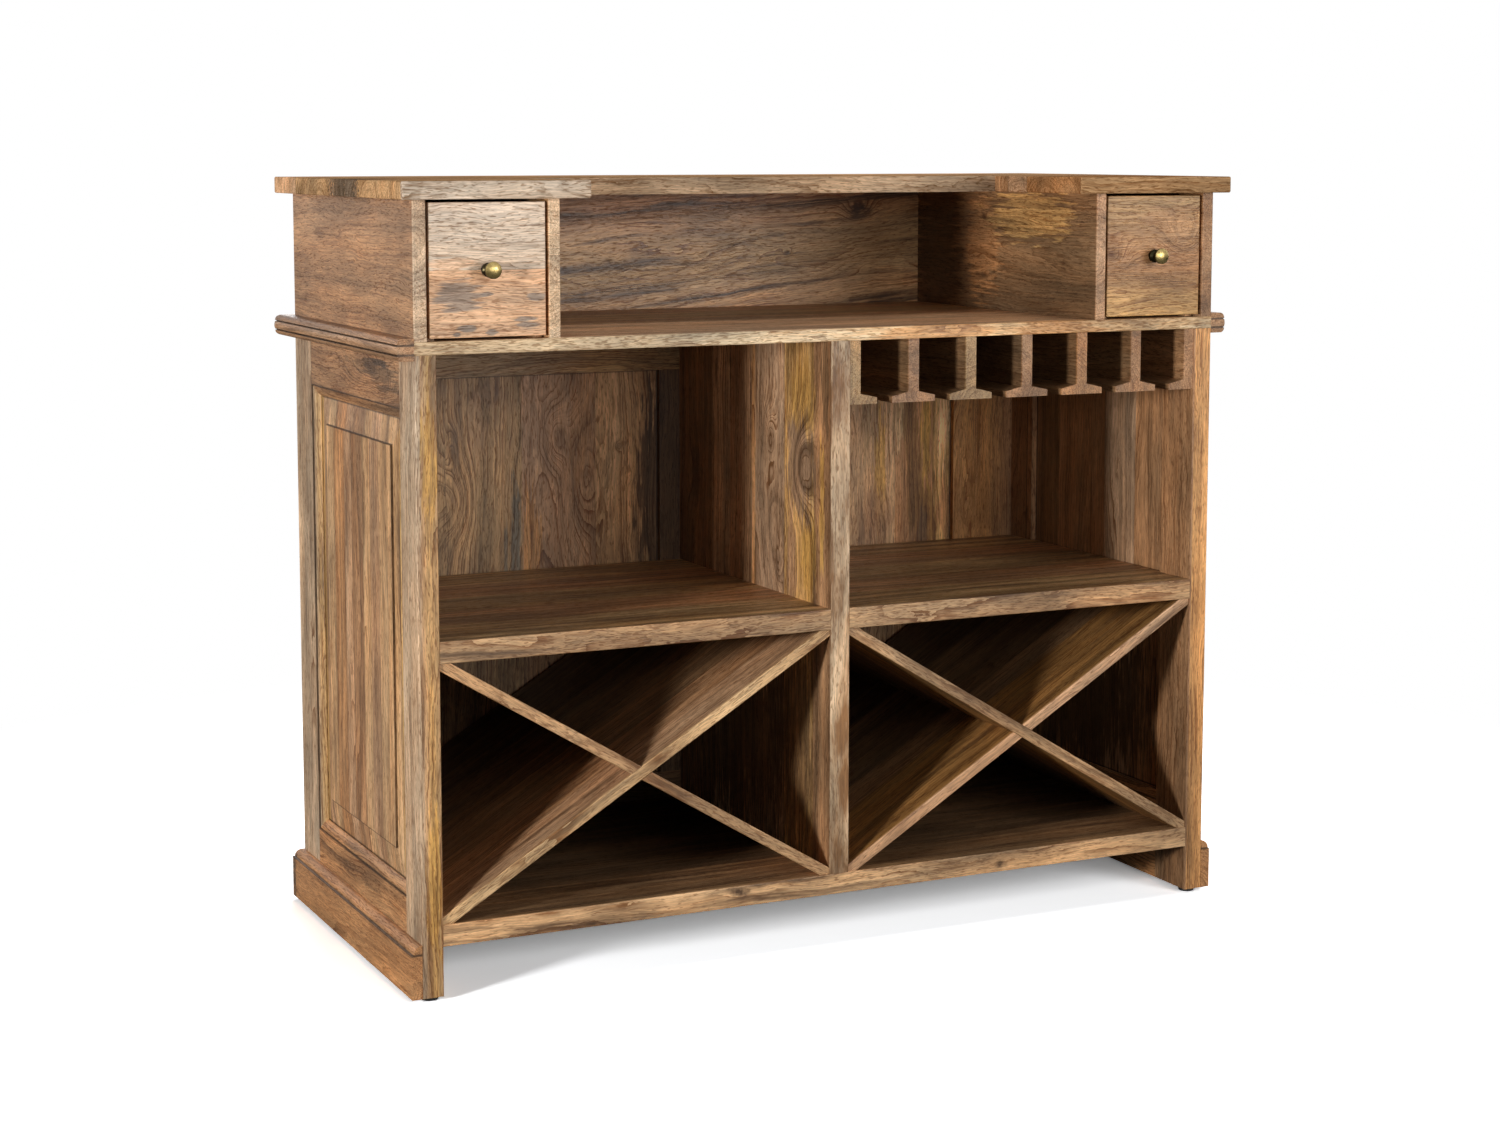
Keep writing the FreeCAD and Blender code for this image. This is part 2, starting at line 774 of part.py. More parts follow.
def drawer():
    """A plain box drawer with an inset front; its sides run on the deck."""
    inner_low = drawer_low + s.drawer_side_thickness
    inner_high = drawer_high - s.drawer_side_thickness
    front_back = drawer_face + s.drawer_front_thickness
    floor_low = s.deck_top + s.drawer_bottom_height
    floor_high = floor_low + s.drawer_bottom_thickness
    rim = drawer_front_high - s.drawer_rim_drop
    bottom = board(
        "left_drawer_bottom",
        (inner_low - s.drawer_groove_depth, front_back - s.drawer_groove_depth, floor_low),
        (inner_high + s.drawer_groove_depth, drawer_end, floor_high),
    )
    keep_pair(bottom, "left_drawer_bottom")
    outer = board("drawer_outer_plain", (drawer_low, front_back, s.deck_top), (inner_low, drawer_end, rim))
    inner = board("drawer_inner_plain", (inner_high, front_back, s.deck_top), (drawer_high, drawer_end, rim))
    keep_pair(cut("left_drawer_outer_side", outer, bottom), "left_drawer_outer_side")
    keep_pair(cut("left_drawer_inner_side", inner, bottom), "left_drawer_inner_side")
    end = board(
        "left_drawer_back",
        (inner_low, drawer_end - s.drawer_side_thickness, floor_high),
        (inner_high, drawer_end, rim),
    )
    keep_pair(end, "left_drawer_back")
    face = board(
        "drawer_face_plain",
        (drawer_low, drawer_face, drawer_front_low),
        (drawer_high, front_back, drawer_front_high),
    )
    pilot = doc.addObject("Part::Cylinder", "knob_pilot")
    bind(pilot, "Radius", s.knob_screw_diameter / 2 + s.knob_screw_play)
    bind(pilot, "Height", s.knob_screw_length + s.knob_screw_play)
    pilot_end = drawer_face + s.knob_screw_length + s.knob_screw_play
    put(pilot, drawer_middle, pilot_end, knob_up, FRONT_TO_BACK)
    rounded = eased("drawer_face_rounded", face, s.edge_rounding, lambda edge: lies_at(edge, 1, drawer_face))
    keep_pair(cut("left_drawer_front", rounded, bottom, pilot), "left_drawer_front")


def knob():
    """A turned brass knob with its own wood screw."""
    screw = s.knob_screw_diameter / 2
    base = s.knob_base_diameter / 2
    neck = s.knob_neck_diameter / 2
    head = s.knob_head_diameter / 2
    head_low = s.knob_reach - s.knob_head_thickness
    dome_radius = (head * head / s.knob_dome + s.knob_dome) / 2
    corners = [
        (0, -s.knob_screw_length),
        (screw, -s.knob_screw_length),
        (screw, 0),
        (base, 0),
        (base, s.knob_base_thickness),
        (neck, s.knob_base_thickness + s.knob_base_taper),
        (neck, head_low),
        (head, head_low + s.knob_head_flare),
        (head, s.knob_reach - s.knob_dome),
        (0, s.knob_reach),
    ]
    shape = turned("left_drawer_knob", corners, {8: dome_radius})
    keep_pair(put(shape, drawer_middle, drawer_face, knob_up, TO_THE_FRONT), "left_drawer_knob")


# Foot glides


def foot_glides():
    """A round pad under each corner of the case."""
    floor = as_size(0)
    pads = []
    for x in (left + s.frame_thickness / 2, -left - s.frame_thickness / 2):
        for y in (front + s.glide_inset, back - s.glide_inset):
            name = f"glide_{len(pads) + 1}"
            disc = doc.addObject("Part::Cylinder", f"{name}_disc")
            bind(disc, "Radius", s.glide_diameter / 2)
            bind(disc, "Height", s.foot_height)
            put(disc, x, y, floor)
            pads.append(eased(name, disc, s.glide_rounding, lambda edge: lies_at(edge, 2, floor)))
    group = doc.addObject("Part::Compound", "foot_glides")
    group.Links = pads
    keep(group, "foot_glides")
    return len(pads)


side_frame()
back_frame()
divider()
deck()
waist_moulding()
plinth()
upper_section()
bar_top()
bottle_bins()
stemware_rack()
drawer()
knob()
glides = foot_glides()
doc.recompute()

# Every object has to be sound before anything is written

for thing in doc.Objects:
    if "Invalid" in thing.State or "Error" in thing.State:
        raise RuntimeError(f"{thing.Name} failed: {thing.State}")
for piece in pieces:
    solids = glides if piece.Label == "foot_glides" else 1
    if not piece.Shape.isValid() or len(piece.Shape.Solids) != solids:
        raise RuntimeError(f"{piece.Label} is not {solids} sound solid(s)")

os.makedirs("parts", exist_ok=True)
for piece in pieces:
    piece.Shape.exportStep(f"parts/{piece.Label}.step")
print(f"{len(pieces)} pieces written")
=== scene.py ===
import math
import random

import bpy
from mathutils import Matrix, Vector


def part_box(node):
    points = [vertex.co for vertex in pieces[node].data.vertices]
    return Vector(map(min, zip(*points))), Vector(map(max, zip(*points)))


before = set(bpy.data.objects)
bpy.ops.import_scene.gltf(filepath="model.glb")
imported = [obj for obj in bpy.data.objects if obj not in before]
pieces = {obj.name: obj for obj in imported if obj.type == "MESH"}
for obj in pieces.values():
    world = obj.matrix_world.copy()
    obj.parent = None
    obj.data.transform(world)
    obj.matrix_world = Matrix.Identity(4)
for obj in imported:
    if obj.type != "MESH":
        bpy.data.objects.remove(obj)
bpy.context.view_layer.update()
scene = bpy.context.scene


# Colours of the wood, written as seen under plain light

def shade(red, green, blue):
    """A screen colour from 0 to 255, made linear."""
    linear = [((part / 255 + 0.055) / 1.055) ** 2.4 for part in (red, green, blue)]
    return (*linear, 1.0)


TONES = {
    "bone": shade(200, 180, 162),
    "cream": shade(218, 190, 154),
    "oat": shade(200, 172, 142),
    "wheat": shade(208, 170, 126),
    "sand": shade(183, 156, 130),
    "blush": shade(204, 164, 131),
    "tan": shade(184, 146, 108),
    "straw": shade(190, 150, 98),
    "gold": shade(188, 144, 76),
    "honey": shade(194, 143, 92),
    "fawn": shade(170, 133, 102),
    "hazel": shade(164, 134, 108),
    "clay": shade(170, 124, 84),
    "olive": shade(158, 127, 90),
    "brown": shade(152, 114, 82),
    "dusk": shade(142, 115, 92),
    "amber": shade(136, 98, 56),
    "umber": shade(128, 98, 70),
    "slate": shade(132, 118, 108),
    "ash": shade(106, 90, 76),
    "smoke": shade(92, 88, 80),
    "walnut": shade(102, 78, 56),
    "bark": shade(82, 62, 44),
    "ink": shade(62, 50, 40),
}
KNOT_BROWN = shade(58, 36, 22)
STREAK_BROWN = shade(76, 54, 36)


# Short ways to add shader nodes

class Tree:
    """A node tree with helpers that return the sockets they make."""

    def __init__(self, tree):
        self.nodes = tree.nodes
        self.links = tree.links

    def add(self, kind, **settings):
        node = self.nodes.new(kind)
        for name, value in settings.items():
            setattr(node, name, value)
        return node

    def feed(self, socket, value):
        """Links a socket to another one, or gives it a plain value."""
        if isinstance(value, bpy.types.NodeSocket):
            self.links.new(value, socket)
        else:
            socket.default_value = value

    def maths(self, operation, *values):
        node = self.add("ShaderNodeMath", operation=operation)
        for socket, value in zip(node.inputs, values):
            self.feed(socket, value)
        return node.outputs[0]

    def vectors(self, operation, *values):
        node = self.add("ShaderNodeVectorMath", operation=operation)
        for socket, value in zip(node.inputs, values):
            self.feed(socket, value)
        return node.outputs["Value" if operation == "LENGTH" else "Vector"]

    def spot(self):
        """The place on the object that is being shaded, in metres."""
        return self.add("ShaderNodeTexCoord").outputs["Object"]

    def split(self, vector):
        node = self.add("ShaderNodeSeparateXYZ")
        self.feed(node.inputs[0], vector)
        return node.outputs

    def merge(self, *parts):
        node = self.add("ShaderNodeCombineXYZ")
        for socket, part in zip(node.inputs, parts):
            self.feed(socket, part)
        return node.outputs[0]

    def noise(self, vector, stretch, detail, output="Fac"):
        """Noise over a space that is stretched by its own number of features per metre each way."""
        node = self.add("ShaderNodeTexNoise")
        self.feed(node.inputs["Vector"], self.vectors("MULTIPLY", vector, stretch))
        node.inputs["Scale"].default_value = 1.0
        node.inputs["Detail"].default_value = detail
        return node.outputs[output]

    def waves(self, place, scale, detail):
        """Uneven waves along one line."""
        node = self.add("ShaderNodeTexNoise", noise_dimensions="1D")
        node.inputs["Scale"].default_value = scale
        node.inputs["Detail"].default_value = detail
        self.feed(node.inputs["W"], place)
        return node.outputs["Fac"]

    def scaled(self, vector, factor):
        node = self.add("ShaderNodeVectorMath", operation="SCALE")
        self.feed(node.inputs[0], vector)
        self.feed(node.inputs["Scale"], factor)
        return node.outputs[0]

    def spread(self, value, low, high, to_low=0.0, to_high=1.0):
        """Maps low to high onto a new range, clamped."""
        node = self.add("ShaderNodeMapRange", clamp=True)
        limits = {"From Min": low, "From Max": high, "To Min": to_low, "To Max": to_high}
        for name, number in limits.items():
            node.inputs[name].default_value = number
        self.feed(node.inputs["Value"], value)
        return node.outputs[0]

    def mix(self, factor, first, second):
        node = self.add("ShaderNodeMix", data_type="RGBA")
        colours = [socket for socket in node.inputs if socket.type == "RGBA"]
        self.feed(node.inputs["Factor"], factor)
        self.feed(colours[0], first)
        self.feed(colours[1], second)
        return next(socket for socket in node.outputs if socket.type == "RGBA")

    def ramp(self, factor, stops, interpolation):
        """A colour ramp from a list of (place, colour)."""
        node = self.add("ShaderNodeValToRGB")
        node.color_ramp.interpolation = interpolation
        elements = node.color_ramp.elements
        elements.remove(elements[1])
        elements[0].position, elements[0].color = stops[0]
        for place, colour in stops[1:]:
            elements.new(place).color = colour
        self.feed(node.inputs["Fac"], factor)
        return node.outputs


def new_material(name):
    """A material, and its node tree."""
    material = bpy.data.materials.new(name)
    material.use_nodes = True
    return material, Tree(material.node_tree)


# Grain of mango wood, worked out in a board's own directions: along, across and through

# How deep the pith lies under a board, and how much it slopes along it
PITH_DEPTH = 0.035
PITH_SLOPE = 0.035
# Waves per metre of radius and their detail: of light and dark bands, and of uneven growth
BANDS = (55.0, 4.0)
GROWTH = (45.0, 3.0)
BAND_LEVELS = (0.30, 0.70)
# Rings per metre of radius, how many more uneven growth gives, and how narrow their dark edges are
RINGS_PER_METRE = 170.0
UNEVEN_RINGS = 4.0
RING_EDGE_POWER = 3.5
# Each sway of the grain: waves per metre along, across and through, and how far it pushes
SWAYS = [
    ((1.6, 5.0, 5.0), (0.0, 0.055, 0.055)),
    ((7.0, 22.0, 22.0), (0.0, 0.016, 0.016)),
    ((28.0, 80.0, 80.0), (0.0, 0.0035, 0.0035)),
    ((75.0, 230.0, 230.0), (0.0, 0.0016, 0.0016)),
]
SWAY_DETAIL = 2.0
# Each kind of mark: features per metre along, across and through, detail, and the noise it spans
MARKS = {
    "whole rings": ((8.0, 40.0, 40.0), 3.0, (0.36, 0.60)),
    "fibres": ((24.0, 540.0, 540.0), 3.0, (0.30, 0.70)),
    "pores": ((80.0, 640.0, 640.0), 1.0, (0.56, 0.66)),
    "lines": ((12.0, 230.0, 230.0), 2.0, (0.57, 0.70)),
    "streaks": ((2.6, 60.0, 60.0), 4.0, (0.54, 0.68)),
    "clouds": ((5.0, 16.0, 16.0), 5.0, (0.28, 0.72)),
    "warmth": ((3.4, 20.0, 20.0), 4.0, (0.34, 0.66)),
}
PORE_CROWDING = 0.05
WARM = (1.06, 0.99, 0.87)
COOL = (0.95, 0.985, 0.97)
# How light the wood is between its marks, and how bands, fibres and clouds change that
LIGHTNESS = 1.38
BAND_LIGHT = (-0.34, 0.34)
FIBRE_LIGHT = (0.70, 1.30)
CLOUD_LIGHT = (-0.42, 0.36)
CLOUD_BASE = 0.97
# How dark lines and pores are, and what is left of each colour in the darkest of them
LINE_DARKNESS = 0.60
PORE_DARKNESS = 0.70
MARK_BROWN = (0.36, 0.25, 0.16, 1.0)
WHITE = (1.0, 1.0, 1.0, 1.0)
# Roughness of the finish, and what pores and fibres add to it
FINISH_ROUGHNESS = 0.44
PORE_ROUGHNESS = 0.14
FIBRE_ROUGHNESS = -0.05
# Heights in the relief, as shares of its depth
PORE_HEIGHT = -0.8
FIBRE_HEIGHT = 0.4
BAND_HEIGHT = 0.25


def swaying_grain(tree, board, log):
    """The board's coordinates, swayed widely and in small ripples along the board."""
    in_log = tree.vectors("ADD", board, log)
    swayed = board
    for waves, push in SWAYS:
        noise = tree.noise(in_log, waves, SWAY_DETAIL, "Color")
        wander = tree.vectors("SUBTRACT", noise, (0.5, 0.5, 0.5))
        swayed = tree.vectors("ADD", swayed, tree.vectors("MULTIPLY", wander, push))
    return swayed


def growth_rings(tree, swayed, swell):
    """Light and dark bands round a pith that slopes through the board, and its rings' thin dark edges."""
    along, across, through = tree.split(swayed)
    depth = tree.maths("ADD", through, tree.maths("MULTIPLY_ADD", along, PITH_SLOPE, PITH_DEPTH))
    squares = tree.maths("ADD", tree.maths("POWER", across, 2.0), tree.maths("POWER", depth, 2.0))
    radius = tree.maths("ADD", tree.maths("SQRT", squares), swell)
    bands = tree.spread(tree.waves(radius, *BANDS), *BAND_LEVELS)
    uneven = tree.maths("MULTIPLY", tree.waves(radius, *GROWTH), UNEVEN_RINGS)
    turns = tree.maths("FRACT", tree.maths("MULTIPLY_ADD", radius, RINGS_PER_METRE, uneven))
    return bands, tree.maths("POWER", turns, RING_EDGE_POWER)


def marks_of(tree, swayed, kind, crowding=None):
    """Where one kind of mark lies in the wood, from 0 to 1."""
    spacing, detail, levels = MARKS[kind]
    level = tree.noise(swayed, spacing, detail)
    if crowding is not None:
        level = tree.maths("ADD", level, crowding)
    return tree.spread(level, *levels)


def grain_group():
    """A node group that turns a board's coordinates and tone into its colour, roughness and relief."""
    group = bpy.data.node_groups.new("mango_grain", "ShaderNodeTree")
    inputs = {
        "Board": "NodeSocketVector",
        "Along": "NodeSocketFloat",
        "Tone": "NodeSocketColor",
        "Swell": "NodeSocketFloat",
        "Knot": "NodeSocketFloat",
        "Rings": "NodeSocketFloat",
        "Streaks": "NodeSocketFloat",
        "Flecks": "NodeSocketFloat",
        "Mottle": "NodeSocketFloat",
    }
    for name, kind in inputs.items():
        group.interface.new_socket(name, in_out="INPUT", socket_type=kind)
    outputs = {"Colour": "NodeSocketColor", "Roughness": "NodeSocketFloat", "Height": "NodeSocketFloat"}
    for name, kind in outputs.items():
        group.interface.new_socket(name, in_out="OUTPUT", socket_type=kind)
    tree = Tree(group)
    given = tree.add("NodeGroupInput").outputs
    log = tree.merge(given["Along"], 0.0, 0.0)

    # Rings that break off here and there, fibres, and short pores that crowd in the dark bands
    swayed = swaying_grain(tree, given["Board"], log)
    bands, edges = growth_rings(tree, swayed, given["Swell"])
    swayed = tree.vectors("ADD", swayed, log)
    rings = tree.maths("MULTIPLY", edges, marks_of(tree, swayed, "whole rings"))
    fibres = marks_of(tree, swayed, "fibres")
    crowding = tree.spread(bands, 0.0, 1.0, PORE_CROWDING, -PORE_CROWDING)
    pores = marks_of(tree, swayed, "pores", crowding)

    # Light and dark wood
    figure = tree.maths("MULTIPLY", tree.spread(bands, 0.0, 1.0, *BAND_LIGHT), given["Rings"])
    light = tree.maths("ADD", figure, LIGHTNESS)
    light = tree.maths("MULTIPLY", light, tree.spread(fibres, 0.0, 1.0, *FIBRE_LIGHT))
    clouds = tree.spread(marks_of(tree, swayed, "clouds"), 0.0, 1.0, *CLOUD_LIGHT)
    mottle = tree.maths("MULTIPLY", clouds, given["Mottle"])
    light = tree.maths("MULTIPLY", light, tree.maths("ADD", mottle, CLOUD_BASE))

    # What rings, fine lines and pores leave of that light
    clear = tree.maths("MULTIPLY_ADD", tree.maths("MULTIPLY", rings, given["Rings"]), -1.0, 1.0)
    lines = marks_of(tree, swayed, "lines")
    for marks, darkness in ((lines, LINE_DARKNESS), (pores, PORE_DARKNESS)):
        strength = tree.maths("MULTIPLY", marks, given["Flecks"])
        left_over = tree.maths("MULTIPLY_ADD", strength, -darkness, 1.0)
        clear = tree.maths("MULTIPLY", clear, left_over)
    browned = tree.mix(tree.maths("MAXIMUM", clear, 0.0), MARK_BROWN, WHITE)

    # Warmer and cooler wood, with streaks and knots over it
    cool = tree.vectors("MULTIPLY", given["Tone"], COOL)
    warm = tree.vectors("MULTIPLY", given["Tone"], WARM)
    colour = tree.scaled(tree.mix(marks_of(tree, swayed, "warmth"), cool, warm), light)
    colour = tree.vectors("MULTIPLY", colour, browned)
    streaks = tree.maths("MULTIPLY", marks_of(tree, swayed, "streaks"), given["Streaks"])
    colour = tree.mix(streaks, colour, STREAK_BROWN)
    colour = tree.mix(given["Knot"], colour, KNOT_BROWN)

    rough = tree.maths("MULTIPLY_ADD", pores, PORE_ROUGHNESS, FINISH_ROUGHNESS)
    rough = tree.maths("MULTIPLY_ADD", fibres, FIBRE_ROUGHNESS, rough)
    relief = tree.maths("MULTIPLY_ADD", pores, PORE_HEIGHT, tree.maths("MULTIPLY", fibres, FIBRE_HEIGHT))
    relief = tree.maths("MULTIPLY_ADD", bands, BAND_HEIGHT, relief)
    result = tree.add("NodeGroupOutput").inputs
    tree.feed(result["Colour"], colour)
    tree.feed(result["Roughness"], rough)
    tree.feed(result["Height"], relief)
    return group


GRAIN = grain_group()
WOOD_GLOSS = 0.38
RELIEF_STRENGTH = 0.35
RELIEF_DEPTH = 0.0006
JOINT_HALF_WIDTH = 0.0007
JOINT_SHADE = 0.55
# Where staves are cut from a log: how far they spread across and through, from where, and its length
STAVE_SPREAD = (0.0, 0.11, 0.04)
STAVE_SPREAD_FROM = (0.0, -0.055, -0.01)
LOG_LENGTH = 60.0
LIP_DEPTH = 0.004
# Ragged edges of knots and patches: features per metre along, across and through, and detail
KNOT_TATTERS = ((70.0, 130.0, 130.0), 3.0)
LIP_KNOT_TATTERS = ((110.0, 110.0, 110.0), 3.0)
PATCH_TATTERS = ((22.0, 200.0, 200.0), 4.0)
KNOT_RAGGEDNESS = 1.6
PATCH_RAGGEDNESS = 2.4
# Shares of a knot's or a patch's reach between which it fades out
KNOT_FADE = (0.2, 1.0)
PATCH_FADE = (0.72, 1.08)
# Painted shade in corners: how dark, the share of its reach that is darkest, and its reach in each kind
CORNER_SHADE_DEPTH = 0.75
CORNER_SHADE_CORE = 0.4
QUIRK_SHADE_REACH = 0.0022
FRAME_SHADE_REACH = 0.0032
FIELD_SHADE_REACH = 0.0016
# From a panel's own edge to the frame it sits in, and on to its raised field
SIGHT_INSET = 0.010
FIELD_INSET = 0.039
# Half of the narrow zone between a wall's inner and outer side
INSIDE_BLUR = 0.001


def board_space(tree, low, high, grain, across, tilt):
    """Coordinates from the middle of a board: along its grain, across it, and through it."""
    turned = tree.add("ShaderNodeMapping", vector_type="TEXTURE")
    turned.inputs["Location"].default_value = (low + high) / 2
    turned.inputs["Rotation"].default_value = (0.0, tilt, 0.0)
    tree.feed(turned.inputs["Vector"], tree.spot())
    parts = dict(zip("XYZ", tree.split(turned.outputs[0])))
    through = next(letter for letter in "XYZ" if letter not in (grain, across))
    return tree.merge(parts[grain], parts[across], parts[through])


def stave_colours(tree, place, staves, dice, blended):
    """The tone of each glued stave by its starting place, and where the stave lies in its log."""
    stops = []
    number = dice.random()
    for start, tone in staves:
        red, green, blue, _ = TONES[tone]
        stops.append((start, (red, green, blue, number)))
        number = number if blended else dice.random()
    found = tree.ramp(place, stops, "EASE" if blended else "CONSTANT")
    scatter = tree.add("ShaderNodeTexWhiteNoise", noise_dimensions="1D")
    tree.feed(scatter.inputs["W"], found["Alpha"])
    shift = tree.vectors("MULTIPLY", scatter.outputs["Color"], STAVE_SPREAD)
    start = tree.maths("MULTIPLY", scatter.outputs["Value"], LOG_LENGTH)
    return found["Color"], tree.vectors("ADD", shift, STAVE_SPREAD_FROM), start


def joint_lines(tree, place, staves, width, colour):
    """Darkens the thin glue lines between staves."""
    reach = JOINT_HALF_WIDTH / width
    dark = (JOINT_SHADE, JOINT_SHADE, JOINT_SHADE, 1.0)
    stops = [(0.0, WHITE)]
    for start, _ in staves[1:]:
        stops += [(start - reach, WHITE), (start, dark), (start + reach, WHITE)]
    lines = tree.ramp(place, stops, "LINEAR")["Color"]
    return tree.vectors("MULTIPLY", colour, lines)


def reach_from(tree, board, middle, stretch):
    """Distance from a mark's middle, where 1 is its edge."""
    offset = tree.vectors("SUBTRACT", board, middle)
    return tree.vectors("LENGTH", tree.vectors("MULTIPLY", offset, stretch))


def face_reach(tree, board, along, across, length, width):
    """Distance from the middle of a mark on the face of a board."""
    return reach_from(tree, board, (along, across, 0.0), (1.0 / length, 1.0 / width, 0.0))


def tatters(tree, board, spacing, detail):
    """Noise about 0 that makes the edge of a mark ragged."""
    return tree.maths("SUBTRACT", tree.noise(board, spacing, detail), 0.5)


def dark_heart(tree, reach, ragged, dark):
    """How dark a knot is at a distance from its middle."""
    uneven = tree.maths("MULTIPLY_ADD", ragged, KNOT_RAGGEDNESS, reach)
    return tree.maths("MULTIPLY", tree.spread(uneven, *KNOT_FADE, 1.0, 0.0), dark)


def knots_in(tree, board, knots):
    """How far each knot pushes the rings aside, and how dark its heart is."""
    swell, heart = 0.0, 0.0
    if not knots:
        return swell, heart
    ragged = tatters(tree, board, *KNOT_TATTERS)
    for along, across, length, width, push, dark in knots:
        reach = face_reach(tree, board, along, across, length, width)
        bell = tree.maths("POWER", math.e, tree.maths("MULTIPLY", tree.maths("POWER", reach, 2.0), -1.0))
        swell = tree.maths("MULTIPLY_ADD", bell, push, swell)
        heart = tree.maths("MAXIMUM", dark_heart(tree, reach, ragged, dark), heart)
    return swell, heart


def lip_knots_in(tree, board, edge, knots):
    """How dark the small knots on a front edge are, each at its place along and up."""
    heart = 0.0
    ragged = tatters(tree, board, *LIP_KNOT_TATTERS)
    for along, up, length, height, dark in knots:
        reach = reach_from(tree, board, (along, 0.0, up), (1.0 / length, 0.0, 1.0 / height))
        heart = tree.maths("MAXIMUM", dark_heart(tree, reach, ragged, dark), heart)
    return tree.maths("MULTIPLY", heart, edge)


def toned_patches(tree, board, tone, patches):
    """Lays ragged patches of other tones over a piece."""
    ragged = tatters(tree, board, *PATCH_TATTERS)
    for along, across, length, width, strength, other in patches:
        reach = face_reach(tree, board, along, across, length, width)
        uneven = tree.maths("MULTIPLY_ADD", ragged, PATCH_RAGGEDNESS, reach)
        tone = tree.mix(tree.spread(uneven, *PATCH_FADE, strength, 0.0), tone, TONES[other])
    return tone


def painted_corner_shade(tree, distances):
    """What painted shade in narrow corners leaves of the colour, from distances to the corners."""
    # Darkens the colour near each corner as painted shade
    left_over = 1.0
    for distance, reach in distances:
        away = tree.maths("ABSOLUTE", distance)
        line = tree.spread(away, CORNER_SHADE_CORE * reach, reach, 1.0 - CORNER_SHADE_DEPTH, 1.0)
        left_over = tree.maths("MULTIPLY", line, left_over)
    return left_over


def inner_half(tree, board, outside):
    """1 on the inner side of a piece and 0 on its outer side."""
    outwards = tree.maths("MULTIPLY", tree.split(board)[2], outside)
    return tree.spread(outwards, -INSIDE_BLUR, INSIDE_BLUR, 1.0, 0.0)


def raised_field_corners(tree, board, low, high, axes, inside):
    """Distances to a panel's frame, and to the corner round its raised field on the outer face, where
    painted shade goes.
    """
    along, across, _ = tree.split(board)
    half = [(high["XYZ".index(axis)] - low["XYZ".index(axis)]) / 2 - SIGHT_INSET for axis in axes]
    beyond = [
        tree.maths("SUBTRACT", tree.maths("ABSOLUTE", place), size)
        for place, size in zip((along, across), half)
    ]
    to_frame = tree.maths("MAXIMUM", *beyond)
    to_field = tree.maths("ADD", tree.maths("ADD", to_frame, FIELD_INSET), inside)
    return [(to_frame, FRAME_SHADE_REACH), (to_field, FIELD_SHADE_REACH)]


def front_edge(tree, front):
    """1 on the lipping at the front of a piece and 0 behind it."""
    back = tree.split(tree.spot())[1]
    return tree.spread(back, front + 0.5 * LIP_DEPTH, front + LIP_DEPTH, 1.0, 0.0)


def grain_shader(tree, settings, gloss):
    """Feeds a board's settings to the grain, and what the grain gives to the shader."""
    grain = tree.add("ShaderNodeGroup", node_tree=GRAIN)
    for label, value in settings.items():
        tree.feed(grain.inputs[label], value)
    relief = tree.add("ShaderNodeBump")
    relief.inputs["Strength"].default_value = RELIEF_STRENGTH
    relief.inputs["Distance"].default_value = RELIEF_DEPTH
    tree.feed(relief.inputs["Height"], grain.outputs["Height"])
    shader = tree.nodes["Principled BSDF"]
    tree.feed(shader.inputs["Base Color"], grain.outputs["Colour"])
    tree.feed(shader.inputs["Roughness"], grain.outputs["Roughness"])
    tree.feed(shader.inputs["Normal"], relief.outputs["Normal"])
    shader.inputs["Specular IOR Level"].default_value = gloss


def fading(first, last):
    """The staves of a piece from one board, whose tone fades from its low edge to its high one."""
    return [(0.0, first), (1.0, last)]


def wood(name, grain, across, staves, rings=1.0, streaks=0.25, flecks=1.0, mottle=1.0, gloss=WOOD_GLOSS,
         knots=(), patches=(), tilt=0.0, blended=False, quirks=(), outside=0, raised=False, lip=None,
         lip_knots=()):
    """Gives a piece its mango wood, with the grain and the staves in the directions of this piece.

    staves is a list of (start across the piece from 0 to 1, tone). knots is a list of (along, across,
    length, width, push, dark), patches of (along, across, length, width, strength, tone) and quirks of
    places across, all in metres from the middle of the piece. outside is 1 or -1 for the outer face of
    the cabinet's walls, which keeps patches to the inner one, and raised is for a panel with a raised
    field outside. lip is the tone of the front edge, and lip_knots a list of (along, up, length, height,
    dark) on that edge. rings, streaks, flecks, mottle and gloss say how strong each of these is.
    """
    low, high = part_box(name)
    material, tree = new_material(f"{name}_mango")
    dice = random.Random(name)
    board = board_space(tree, low, high, grain, across, tilt)
    axis = "XYZ".index(across)
    width = high[axis] - low[axis]
    sideways = tree.split(board)[1]
    place = tree.maths("MULTIPLY_ADD", sideways, 1.0 / width, 0.5)
    tone, shift, start = stave_colours(tree, place, staves, dice, blended)
    if len(staves) > 1 and not blended:
        tone = joint_lines(tree, place, staves, width, tone)
    if lip:
        edge = front_edge(tree, low.y)
        tone = tree.mix(edge, tone, TONES[lip])
    inside = inner_half(tree, board, outside) if outside else 1.0
    if patches:
        tone = tree.mix(inside, tone, toned_patches(tree, board, tone, patches))
    # Painted shade along the quirks and round a raised panel's frame and field, where shade falls in the
    # corners
    corners = [(tree.maths("SUBTRACT", sideways, quirk), QUIRK_SHADE_REACH) for quirk in quirks]
    if raised:
        corners += raised_field_corners(tree, board, low, high, (grain, across), inside)
    if corners:
        tone = tree.scaled(tone, painted_corner_shade(tree, corners))
    swell, heart = knots_in(tree, board, knots)
    if lip_knots:
        heart = tree.maths("MAXIMUM", heart, lip_knots_in(tree, board, edge, lip_knots))
    settings = {
        "Board": tree.vectors("ADD", board, shift),
        "Along": start,
        "Tone": tone,
        "Swell": swell,
        "Knot": heart,
        "Rings": rings,
        "Streaks": streaks,
        "Flecks": flecks,
        "Mottle": mottle,
    }
    grain_shader(tree, settings, gloss)
    pieces[name].data.materials[0] = material


def wood_pair(label, *directions, **settings):
    """The same choice of boards for a left piece and its right twin, each with its own figure."""
    for side in ("left", "right"):
        wood(f"{side}_{label}", *directions, **settings)
